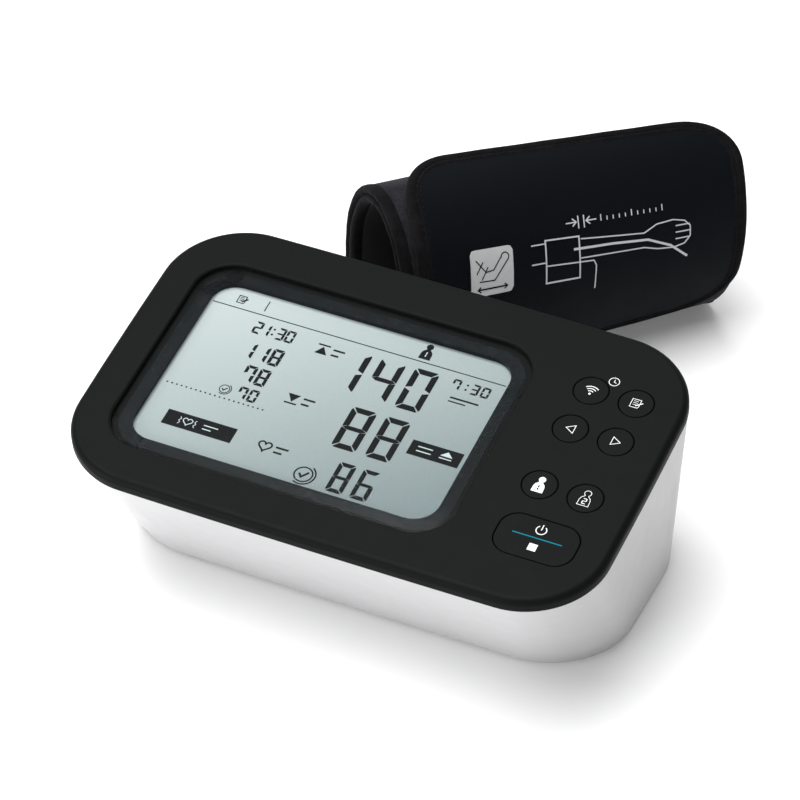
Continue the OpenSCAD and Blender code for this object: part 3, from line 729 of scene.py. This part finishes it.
pale = Marks(cover, GLASS_N + 0.06, GLASS_N + 0.1)
pale.line(heart((-58.4, 34.9), 3.4), 0.3, True)
for side in (-1, 1):
    wave = [(3.0, 1.6), (2.5, 0.8), (3.1, 0.0), (2.5, -0.8), (3.0, -1.6)]
    pale.line([(-58.4 + side * a, 34.9 + b) for a, b in wave], 0.24)
pale.line([(-52.6, 35.7), (-47.4, 35.7)], 0.4)
pale.line([(-52.6, 34.1), (-49.4, 34.1)], 0.4)
pale.line([(17.4, 53.2), (22.6, 53.2)], 0.42)
pale.line([(17.4, 51.3), (22.6, 51.3)], 0.42)
pale.poly([(25.6, 52.2), (30.0, 52.2), (27.8, 54.3)])
pale.line([(25.6, 51.2), (30.0, 51.2)], 0.4)
pale.digits("1", 1.9, 90.2, 1.6, 2.6, 0.42, 2.0)
pale.build("display_signs", "ink_pale", "console", "lcd_grey")

# Signs on the buttons and the small clock between two of them
LOW, HIGH = -0.005, 0.025
sign = {name: Marks(cover, LOW, HIGH, weight=0.75) for name in [*BUTTON_AT, "start_button"]}
u, v = BUTTON_AT["user_one_button"]
sign["user_one_button"].poly(person((u + 0.1, v - 3.3), 6.6))
number = Marks(cover, HIGH + 0.005, HIGH + 0.03)
number.digits("1", u - 1.15, v - 2.75, 1.4, 2.7, 0.5, 2.0)
number.build("user_one_number", "ink_black", "user_one_button", "button_black")
u, v = BUTTON_AT["user_two_button"]
sign["user_two_button"].line(person((u + 0.1, v - 3.2), 6.4), 0.26, True)
sign["user_two_button"].digits("2", u - 0.65, v - 2.5, 1.5, 2.4, 0.3, 2.0)
for name, way in (("back_button", -1), ("forward_button", 1)):
    u, v = BUTTON_AT[name]
    triangle = [(u + way * 1.55, v), (u - way * 1.35, v + 1.75), (u - way * 1.35, v - 1.75)]
    sign[name].line(triangle, 0.3, True)
u, v = BUTTON_AT["wireless_button"]
sign["wireless_button"].disc((u, v - 1.5), 0.42)
for r in (1.3, 2.3, 3.3):
    sign["wireless_button"].arc((u, v - 1.5), r, 0.42, 48, 132, 14)
notes(sign["memory_button"], (BUTTON_AT["memory_button"][0] - 0.1, 93.3), 1.12, 0.28)
u, v = START_AT
sign["start_button"].arc((u, v + 4.0), 1.75, 0.42, 125, 415, 28)
sign["start_button"].line([(u, v + 4.0), (u, v + 6.3)], 0.42)
square = [(-1.45, -5.0), (1.45, -5.0), (1.45, -2.1), (-1.45, -2.1)]
sign["start_button"].poly([(u + a, v + b) for a, b in square])
for name, marks in sign.items():
    marks.build(name + "_sign", "ink_white", name, "button_black")
teal = Marks(cover, LOW, HIGH)
teal.line([(61.7, 28.1), (78.9, 28.1)], 0.42)
teal.build("start_button_line", "ink_teal", "start_button", "button_black")
clock = Marks(cover, LOW, HIGH)
clock.arc((68.0, 99.6), 1.75, 0.24)
clock.line([(68.0, 100.6), (68.0, 99.5), (68.9, 99.2)], 0.22)
clock.build("clock_sign", "ink_white", "console", "cover_black")

# ---- Cuff, as the CAD has it: a tapered oval spiral

CUFF_W, ROLL_RY, ROLL_RZ, TAPER, CUFF_T, PITCH, LIFT = 132.0, 31.0, 43.3, 0.93, 3.0, 3.4, 3.0
CUFF_AT, CUFF_YAW = np.array([-41.4, 88.4]), math.radians(48)
HINGE_A, COIL_END, COIL_W = 240.0, 954.0, CUFF_W - 2
ROOT_X, END_X, END_A = (0.0, CUFF_W - 3), (9.0, CUFF_W + 4), (76.0, 96.0)
FLAP_W, FLAP_L, FOLD_T = 128.4, 100.0, 0.76
ROLL_CZ = ROLL_RZ - PITCH / 2


def mix(a, b, t):
    return a + (b - a) * t


def roll(x, a, depth):
    """Points in the row frame: along the roll, at an angle, and below the wrap's outer face."""
    x, a, depth = np.broadcast_arrays(*(np.asarray(q, float) for q in (x, a, depth)))
    d = PITCH * (a - 90) / 360 - LIFT * np.maximum(0, 1 - (a - 90) / 60) ** 2 + depth
    s = mix(1.0, TAPER, x / CUFF_W)
    y = s * (ROLL_RY - d) * np.cos(np.radians(a))
    z = s * (ROLL_CZ + (ROLL_RZ - d) * np.sin(np.radians(a)))
    c, n = math.cos(CUFF_YAW), math.sin(CUFF_YAW)
    world = [CUFF_AT[0] + x * c - y * n, CONSOLE_Y + CUFF_AT[1] + x * n + y * c, z]
    return np.stack(world, -1)


def flap(x, y, depth):
    """Points on the flap: across from its left edge, along from its root, and below its outer face."""
    s, t = np.asarray(x, float) / FLAP_W, np.asarray(y, float) / FLAP_L
    along = mix(mix(ROOT_X[0], END_X[0], t), mix(ROOT_X[1], END_X[1], t), s)
    angle = mix(mix(HINGE_A, END_A[0], t), mix(HINGE_A, END_A[1], t), s)
    return roll(along, angle, depth)


def pad_data(surface, xs, ys, top, bottom):
    """A closed pad: a grid of places on its outer face and the same grid on its inner face.

    ys may differ from column to column. Returns its points, its faces and each point's flat place.
    """
    nx, ny = len(xs), ys.shape[1]
    x = np.repeat(xs[:, None], ny, 1)
    flat = np.stack([x, ys, np.zeros_like(x)], -1).reshape(-1, 3)
    outer = surface(x, ys, top).reshape(-1, 3)
    inner = surface(x, ys, bottom).reshape(-1, 3)
    n = nx * ny
    faces = []
    for i in range(nx - 1):
        for j in range(ny - 1):
            a, b = i * ny + j, (i + 1) * ny + j
            faces.append((a, b, b + 1, a + 1))
            faces.append((n + a + 1, n + b + 1, n + b, n + a))
    rim = [i * ny for i in range(nx)] + [(nx - 1) * ny + j for j in range(1, ny)]
    rim += [i * ny + ny - 1 for i in range(nx - 2, -1, -1)] + [j for j in range(ny - 2, 0, -1)]
    for a, b in zip(rim, rim[1:] + rim[:1]):
        faces.append((a, n + a, n + b, b))
    verts = np.concatenate([outer, inner])
    corners = verts[np.array(faces)]
    swept = np.cross(corners[:, 2] - corners[:, 0], corners[:, 3] - corners[:, 1])
    if np.sum(corners.mean(1) * swept) < 0:
        faces = [face[::-1] for face in faces]
    return verts, faces, np.concatenate([flat, flat])


def store_flat(obj, flat):
    attribute = obj.data.attributes.new("flat", "FLOAT_VECTOR", "POINT")
    attribute.data.foreach_set("vector", np.asarray(flat, np.float32).ravel())


def points_of(mesh):
    co = np.zeros(len(mesh.vertices) * 3)
    mesh.vertices.foreach_get("co", co)
    return co.reshape(-1, 3)


def normals_of(mesh):
    normals = np.zeros(len(mesh.vertices) * 3)
    mesh.vertices.foreach_get("normal", normals)
    return normals.reshape(-1, 3)


SIM_SCALE, SIM_FRAMES = 10.0, 20  # the cloth is simulated ten times as large, where Cloth is steady


def swell(obj, held, most):
    """Blows a pad up with Cloth between the points that are held, then moves each point by its share.

    most is the furthest that each point may go, in millimetres.
    """
    rest = points_of(obj.data)
    copy = bpy.data.objects.new("swelling", obj.data.copy())
    scene.collection.objects.link(copy)
    copy.data.vertices.foreach_set("co", (rest * SIM_SCALE).ravel())
    group = copy.vertex_groups.new(name="held")
    group.add([int(i) for i in np.nonzero(held)[0]], 1.0, "REPLACE")
    cloth = copy.modifiers.new("cloth", "CLOTH")
    settings = cloth.settings
    settings.quality, settings.mass = 6, 0.3
    settings.tension_stiffness = settings.compression_stiffness = 12
    settings.bending_stiffness = 0.4
    settings.vertex_group_mass = "held"
    settings.use_pressure, settings.uniform_pressure_force = True, 4.0
    settings.effector_weights.gravity = 0
    cloth.point_cache.frame_start, cloth.point_cache.frame_end = 1, SIM_FRAMES
    for f in range(1, SIM_FRAMES + 1):
        scene.frame_set(f)
    evaluated = copy.evaluated_get(bpy.context.evaluated_depsgraph_get())
    moved = points_of(evaluated.data) / SIM_SCALE - rest
    scene.frame_set(1)
    bpy.data.objects.remove(copy)
    normals = normals_of(obj.data)
    rise = np.sum(moved * normals, axis=1)
    if not np.isfinite(rise).all() or rise.max() < 1e-7:
        return
    rise = np.clip(rise / np.percentile(rise[~held], 98), 0, 1)
    moved = normals * (rise * most * MM)[:, None]
    obj.data.vertices.foreach_set("co", (rest + moved).ravel())
    obj.data.update()


def soften(obj):
    """Rounds a mesh off by one step of subdivision."""
    modifier = obj.modifiers.new("soften", "SUBSURF")
    modifier.levels = modifier.render_levels = 1
    freeze(obj)
    finish_shading(obj)


def ruffle(obj, amount, size, seed, where):
    """Moves points along their normals by soft noise, its amount and size in millimetres.

    where is each point's share of it.
    """
    mesh = obj.data
    co = points_of(mesh) / MM
    normals = normals_of(mesh)
    rng = np.random.default_rng(seed)
    height = np.zeros(len(co))
    for octave in range(4):
        for _ in range(6):
            way = rng.normal(size=3)
            way *= 2 * math.pi / (np.linalg.norm(way) * size / 1.7**octave)
            height += np.sin(co @ way + rng.uniform(0, 6.28)) / (6 * 1.5**octave)
    height *= amount * where
    mesh.vertices.foreach_set("co", ((co + normals * height[:, None]) * MM).ravel())
    mesh.update()


# The coil: pile outside, smooth lining inside, and a brushed tape folded over each side edge
TAPE = [
    (4.3, 0.35), (4.1, 0.12), (3.6, 0.06), (3.1, -0.06), (2.2, -0.14), (1.2, -0.08), (0.45, 0.28),
    (0.02, 0.85), (-0.12, 1.5), (0.02, 2.15), (0.45, 2.72), (1.2, 3.08), (2.2, 3.14), (3.1, 3.06),
    (3.6, 2.94), (4.1, 2.88), (4.3, 2.6),
]  # fmt: skip
END_DRAW, END_DIP = 8.0, 1.4  # how far the right edge is drawn in and sunk, at the top of the coil
TABLE_GAP = 0.02
ARC_PER_DEGREE = 0.66  # mm along the wrap
coil_a = np.linspace(HINGE_A + 0.5, COIL_END, 150)
coil_x = np.linspace(1.2, COIL_W - 1.2, 36)
grid_a = np.repeat(coil_a[None], len(coil_x), 0)


def coil_end(a):
    """How far the coil's right edge is drawn in at an angle: most along its top, under the flap."""
    return END_DRAW * ((1 + np.sin(np.radians(a))) / 2) ** 1.5


def drawn_roll(x, a, depth):
    """The roll with its right edge drawn in, and a little below the flap there."""
    end = coil_end(a) / END_DRAW
    return roll(x * (1 - coil_end(a) / COIL_W), a, depth + END_DIP * end * (x / COIL_W) ** 4)


verts, faces, flat = pad_data(drawn_roll, coil_x, grid_a, 0.16, CUFF_T - 0.16)
half = len(verts) // 2
flat[:, 1] *= ARC_PER_DEGREE
coil = mesh_object("coil_pad", verts, faces, MATERIALS["pile_fabric"])
store_flat(coil, flat)
x_of, a_of = np.tile(coil_x.repeat(len(coil_a)), 2), np.tile(grid_a.ravel(), 2)
outer = np.arange(len(verts)) < half
held = (x_of < 5) | (x_of > COIL_W - 5) | (a_of < HINGE_A + 4) | (a_of > COIL_END - 4)
# Only what is seen swells, clear of the table: outside up to the flap, and inside on the last turn
FLAP_FROM, LAST_TURN = 446, 594
fade_in = np.clip((a_of - HINGE_A) / 15, 0, 1) * np.clip((FLAP_FROM - a_of) / 12, 0, 1)
show_in = np.clip((a_of - LAST_TURN) / 12, 0, 1)
most = np.where(outer, 0.05 + 1.1 * fade_in, 0.05 + 0.6 * show_in)
over_table = np.clip((verts[:, 2] - 0.3) / 12, 0, 1)
swell(coil, held, most * over_table)
coil.data.materials.append(MATERIALS["lining_fabric"])
centres = [p.vertices[0] >= half and p.vertices[2] >= half for p in coil.data.polygons]
coil.data.polygons.foreach_set("material_index", [int(c) for c in centres])
soften(coil)
place(
    coil, "cuff",
    ["cuff_outer_cover", "cuff_curler", "cuff_bladder", "cuff_inner_cover", "cuff_binding"],
)  # fmt: skip


def edge_tape(name, side):
    """The tape folded over one side of the coil: side 0 is its left edge and side 1 its right."""
    section = np.array(TAPE)
    rings = []
    for a in np.linspace(HINGE_A + 0.3, COIL_END + 1.0, 420):
        wave = 0.05 * math.sin(a * 0.21 + side) + 0.04 * math.sin(a * 0.57 + 2 * side)
        x = section[:, 0] + wave
        x = x if side == 0 else COIL_W - coil_end(a) - x
        sink = side * (1 + END_DIP) * coil_end(a) / END_DRAW
        ring = roll(x, a, section[:, 1] + sink)
        ring[:, 2] = np.maximum(ring[:, 2], TABLE_GAP)
        rings.append(ring if side else ring[::-1])
    tape = mesh_object(name, *loft_data(rings), MATERIALS["tape_fabric"], True, 60)
    place(tape, "cuff")


edge_tape("coil_tape_left", 0)
edge_tape("coil_tape_right", 1)

# The flap: a pile base, a smooth crowned panel on it, and a tape with a double seam round the panel
PANEL_FOOT = 9.0
CORNERS = {"tl": 20.0, "tr": 22.0, "br": 24.0, "bl": 18.0}


def panel_loop(inset, step=1.3):
    """The panel's outline in flat places, drawn in by a margin, clockwise from its root side."""
    x0, x1, y0, y1 = inset, FLAP_W - inset, PANEL_FOOT + inset, FLAP_L - inset
    r = {k: max(1.0, c - inset) for k, c in CORNERS.items()}
    runs = [
        ((x0 + r["bl"], y0 + r["bl"]), r["bl"], 270, 180),
        ((x0 + r["tl"], y1 - r["tl"]), r["tl"], 180, 90),
        ((x1 - r["tr"], y1 - r["tr"]), r["tr"], 90, 0),
        ((x1 - r["br"], y0 + r["br"]), r["br"], 0, -90),
    ]
    points = []
    for (cx, cy), radius, a0, a1 in runs:
        a = np.radians(np.linspace(a0, a1, 26))
        points += list(np.stack([cx + radius * np.cos(a), cy + radius * np.sin(a)], 1))
    points = np.array(points + [points[0]])
    length = np.concatenate([[0], np.cumsum(np.linalg.norm(np.diff(points, axis=0), axis=1))])
    n = int(length[-1] / step)
    at = length[-1] * np.arange(n) / n
    return np.stack([np.interp(at, length, points[:, k]) for k in (0, 1)], 1)


def inward(loop):
    """Unit steps into a closed clockwise loop, at each of its points."""
    d = np.roll(loop, -1, 0) - np.roll(loop, 1, 0)
    d /= np.linalg.norm(d, axis=1)[:, None]
    return np.stack([d[:, 1], -d[:, 0]], 1)


def edge_of(x, low, high, r):
    """How far a rounded corner draws the end in at a place across the flap."""
    d = np.minimum(x - low, high - x)
    return np.where(d < r, r - np.sqrt(np.maximum(r * r - (r - d) ** 2, 0)), 0.0)


def crowded(low, high, n):
    """Places across the flap, closer together towards both sides, where the corners turn."""
    u = np.linspace(0, 1, n)
    return low + (high - low) * (0.6 * u + 0.4 * (0.5 - 0.5 * np.cos(math.pi * u)))


def flap_pad(name, margin, foot, r_top, r_foot, top, bottom, material):
    """A pad on the flap between two depths, margin in from its sides and end, with rounded corners."""
    xs = crowded(margin, FLAP_W - margin, 41)
    up = FLAP_L - margin - edge_of(xs, margin, FLAP_W - margin, r_top - margin)
    down = foot + edge_of(xs, margin, FLAP_W - margin, r_foot)
    ys = down[:, None] + (up - down)[:, None] * np.linspace(0, 1, 33)[None]
    verts, faces, flat = pad_data(flap, xs, ys, top, bottom)
    pad = mesh_object(name, verts, faces, MATERIALS[material])
    store_flat(pad, flat)
    return pad, ys.shape


base, _ = flap_pad("flap_base", 1.0, 0.2, 21.0, 0.1, 0.35, CUFF_T - 0.12, "pile_fabric")
soften(base)
face, grid = flap_pad("flap_panel", 3.0, PANEL_FOOT + 3, 21.0, 18.0, 0.0, 0.6, "nylon_black")
n = len(points_of(face.data))
held = np.ones(n, bool)
inside = np.zeros(grid, bool)
inside[2:-2, 2:-2] = True
held[: n // 2] = ~inside.ravel()
swell(face, held, np.where(np.arange(n) < n // 2, 0.9, 0.0))
ruffle(face, 0.1, 46.0, 7, (np.arange(n) < n // 2).astype(float))
soften(face)

loop = panel_loop(0.0)
steps_in = inward(loop)
PANEL_TAPE = [
    (5.2, 0.55), (5.0, 0.1), (4.7, -0.12), (4.3, -0.34), (3.9, -0.3), (3.62, -0.02), (3.5, 0.06), (3.38, -0.02),
    (3.05, -0.42), (2.4, -0.66), (1.6, -0.66), (0.8, -0.4), (0.2, 0.2), (-0.15, 1.0), (-0.15, 2.0),
    (0.2, 2.75), (0.9, 3.05), (2.2, 3.08), (3.4, 2.9), (3.6, 2.5),
]  # fmt: skip


def along_loop(section, k, lift=0.0):
    """The section's points at one place of the loop."""
    p = loop[k][None] + steps_in[k][None] * section[:, :1]
    return flap(p[:, 0], p[:, 1], section[:, 1] + lift)


section = np.array(PANEL_TAPE)
rings = []
for k in range(len(loop)):
    wave = 0.05 * math.sin(k * 0.37) + 0.04 * math.sin(k * 0.113 + 1)
    rings.append(along_loop(section, k, wave)[::-1])
tape_verts, tape_faces = loft_data(rings + [rings[0]], cap=False)
tape = mesh_object("flap_tape", tape_verts, tape_faces, MATERIALS["tape_fabric"])
soften(tape)

# One stitch: how thick it is at each share of its length
STITCH = ((-0.15, 0.05), (0.0, 0.14), (0.5, 0.17), (1.0, 0.14), (1.15, 0.05))


def stitch_data(a, b):
    """A short spindle of thread from one place to the next."""
    way = Vector(b - a).normalized()
    side = way.cross(Vector((0, 0, 1))).normalized()
    over = side.cross(way)
    rings = []
    for t, r in STITCH:
        centre = a + (b - a) * t
        turn = [math.radians(60 * m) for m in range(6)]
        ring = [np.array(side) * math.cos(q) + np.array(over) * math.sin(q) for q in turn]
        rings.append(centre + r * np.array(ring))
    return loft_data(rings)


stitches = []
for seam in ((3.5, -0.02), (5.15, 0.0)):
    for k in range(0, len(loop) - 1, 2):
        a, b = (along_loop(np.array([seam]), j)[0] for j in (k, k + 1))
        stitches.append(stitch_data(a, b))
thread = mesh_object("flap_stitches", *join_data(stitches), MATERIALS["thread_black"])

patch_x, patch_y, patch_r = (19.0, 35.2), (45.6, 60.7), 1.6
low_x, high_x = patch_x
xs = crowded(low_x, high_x, 15)
trim = edge_of(xs, low_x, high_x, patch_r)
tall = patch_y[1] - patch_y[0] - 2 * trim
ys = (patch_y[0] + trim)[:, None] + tall[:, None] * np.linspace(0, 1, 15)
PRINT = -1.0
verts, faces, flat = pad_data(flap, xs, ys, PRINT - 0.12, PRINT + 0.5)
patch = mesh_object("arm_size_patch", verts, faces, MATERIALS["patch_grey"], True, 40)


def on_flap(points):
    """Marks on the flap: their height counts upwards from the printed face."""
    p = np.asarray(points, float)
    return flap(p[:, 0], p[:, 1], PRINT - p[:, 2])


arm = Marks(on_flap, 0.14, 0.2, 2.0)
for points in (
    [(20.9, 57.4), (24.6, 53.2), (27.6, 53.6), (30.4, 57.2)],
    [(22.0, 50.4), (27.9, 50.2), (32.7, 55.8)],
    [(21.0, 52.9), (23.6, 56.6)],
    [(23.0, 50.9), (25.4, 54.8)],
):
    arm.line(points, 0.36)
arm.arc((32.1, 57.2), 1.45, 0.36, -70, 190, 16)
arm.line([(21.4, 47.8), (32.8, 47.8)], 0.5)
for way, x in ((1, 21.4), (-1, 32.8)):
    arm.line([(x + way * 1.2, 48.7), (x, 47.8), (x + way * 1.2, 46.9)], 0.4)
arm_lines = arm.build("arm_size_lines", "ink_black", None, "patch_grey")

guide = Marks(on_flap, -0.12, 0.05, 2.0)
guide.line([(47.9, 60.0), (60.9, 59.6), (61.3, 45.2), (48.1, 45.5)], 0.52, True)
guide.line([(48.0, 51.4), (66.6, 50.4)], 0.42)
for y in (59.0, 52.6):
    guide.line([(42.4, y), (47.8, y)], 0.42)
guide.line([(61.6, 58.6), (86.5, 56.6), (91.5, 59.0), (98.0, 59.6)], 0.42)
guide.line([(61.6, 52.0), (86.5, 51.4), (92.0, 50.0), (98.5, 49.4)], 0.42)
hand = [(98.0, 59.6), (102.6, 58.6), (104.8, 56.4), (104.8, 52.6), (102.6, 50.2), (98.5, 49.4)]
guide.line(hand, 0.42)
for y in (57.2, 54.8, 52.4):
    guide.line([(99.0, y), (104.6, y)], 0.4)
guide.line([(58.8, 55.4), (74, 55.0), (88, 54.0), (97, 50.4), (104, 45.0)], 0.8)
guide.line([(66.6, 50.4), (67.6, 48.6), (67.6, 40.0)], 0.42)
for x in (61.2, 63.4):
    guide.line([(x, 62.2), (x, 66.6)], 0.4)
for way, x in ((1, 60.4), (-1, 64.2)):
    guide.line([(x - way * 4.0, 64.5), (x, 64.5)], 0.42)
    guide.line([(x - way * 1.5, 65.8), (x, 64.5), (x - way * 1.5, 63.2)], 0.42)
for k in range(11):
    guide.line([(70.0 + 2.4 * k, 63.6), (70.0 + 2.4 * k, 65.0 + 0.9 * (k % 5 == 0))], 0.34)
guide_lines = guide.build("fitting_guide", "ink_grey", None, "nylon_black")

flap_pieces = [
    (base, "pile_fabric", ["flap_padding", "flap_hook_strip", "tip_padding", "tip_hook_strip"]),
    (face, "nylon_black", ["flap_face", "tip_face"]),
    (tape, "tape_fabric", ["flap_binding", "tip_binding"]),
    (thread, "tape_fabric", []),
    (patch, "patch_grey", ["size_patch"]),
    (arm_lines, "patch_grey", []),
    (guide_lines, "nylon_black", []),
]
for obj, slot, nodes in flap_pieces:
    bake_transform(obj)
    if nodes:
        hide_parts(*nodes)

# ---- Camera, floor and light

YAW, PITCH_DOWN, ROLL = math.radians(-23.76), math.radians(39.86), math.radians(0.78)
OFFSET, FOCAL, SENSOR = np.array([-7.08, 31.58, 1366.6]), 182.95, 36.0
right = np.array([math.cos(YAW), -math.sin(YAW), 0])
level_way = math.cos(PITCH_DOWN)
ahead = np.array([math.sin(YAW) * level_way, math.cos(YAW) * level_way, -math.sin(PITCH_DOWN)])
down = np.cross(ahead, right)
cr, sr = math.cos(ROLL), math.sin(ROLL)
right, down = cr * right - sr * down, sr * right + cr * down
eye = np.array([0, CONSOLE_Y, 30.0]) - (right * OFFSET[0] + down * OFFSET[1] + ahead * OFFSET[2])
camera = bpy.data.objects.new("camera", bpy.data.cameras.new("camera"))
scene.collection.objects.link(camera)
camera.data.lens, camera.data.sensor_width = FOCAL, SENSOR
camera.data.clip_start, camera.data.clip_end = 0.05, 20
camera.matrix_world = Matrix(
    [[right[k], -down[k], -ahead[k], eye[k] * MM] for k in range(3)] + [[0, 0, 0, 1]]
)
scene.camera = camera


def floor_material():
    """A plain white floor, faintly lit from below like a studio's light table."""
    n = Nodes("floor_white")
    n.link("Base Color", n.tint(n.noise(3.0), (0.9, 0.9, 0.9), (0.93, 0.93, 0.93)))
    n.shader.inputs["Roughness"].default_value = 0.6
    n.shader.inputs["Specular IOR Level"].default_value = 0.2
    n.shader.inputs["Emission Color"].default_value = (1, 1, 1, 1)
    n.shader.inputs["Emission Strength"].default_value = 0.12
    return n.material


FLOOR_REACH = 9.0  # m
floor_verts = [(x, y, 0.0) for x in (-FLOOR_REACH, FLOOR_REACH) for y in (-FLOOR_REACH, FLOOR_REACH)]
floor = mesh_object("floor", np.array(floor_verts) / MM, [(0, 2, 3, 1)], floor_material())


def softbox(name, at, aim, size, watts):
    """A rectangular lamp at a place, aimed at another, in metres."""
    light = bpy.data.lights.new(name, "AREA")
    light.shape, light.size, light.size_y, light.energy = "RECTANGLE", size[0], size[1], watts
    obj = bpy.data.objects.new(name, light)
    scene.collection.objects.link(obj)
    obj.location = at
    obj.rotation_euler = (Vector(aim) - Vector(at)).to_track_quat("-Z", "Y").to_euler()


softbox("key", (-0.45, -0.15, 2.0), (0, 0, 0.03), (2.2, 1.7), 67)
softbox("front", (-1.0, -1.45, 0.4), (0, 0, 0.03), (1.4, 0.5), 18)
softbox("back", (-0.8, 1.5, 0.75), (0, 0, 0.1), (2.2, 0.7), 6)
world = bpy.data.worlds.new("studio")
world.use_nodes = True
world.node_tree.nodes["Background"].inputs["Color"].default_value = (1, 1, 1, 1)
world.node_tree.nodes["Background"].inputs["Strength"].default_value = 0.19
scene.world = world
scene.view_settings.view_transform = "Standard"
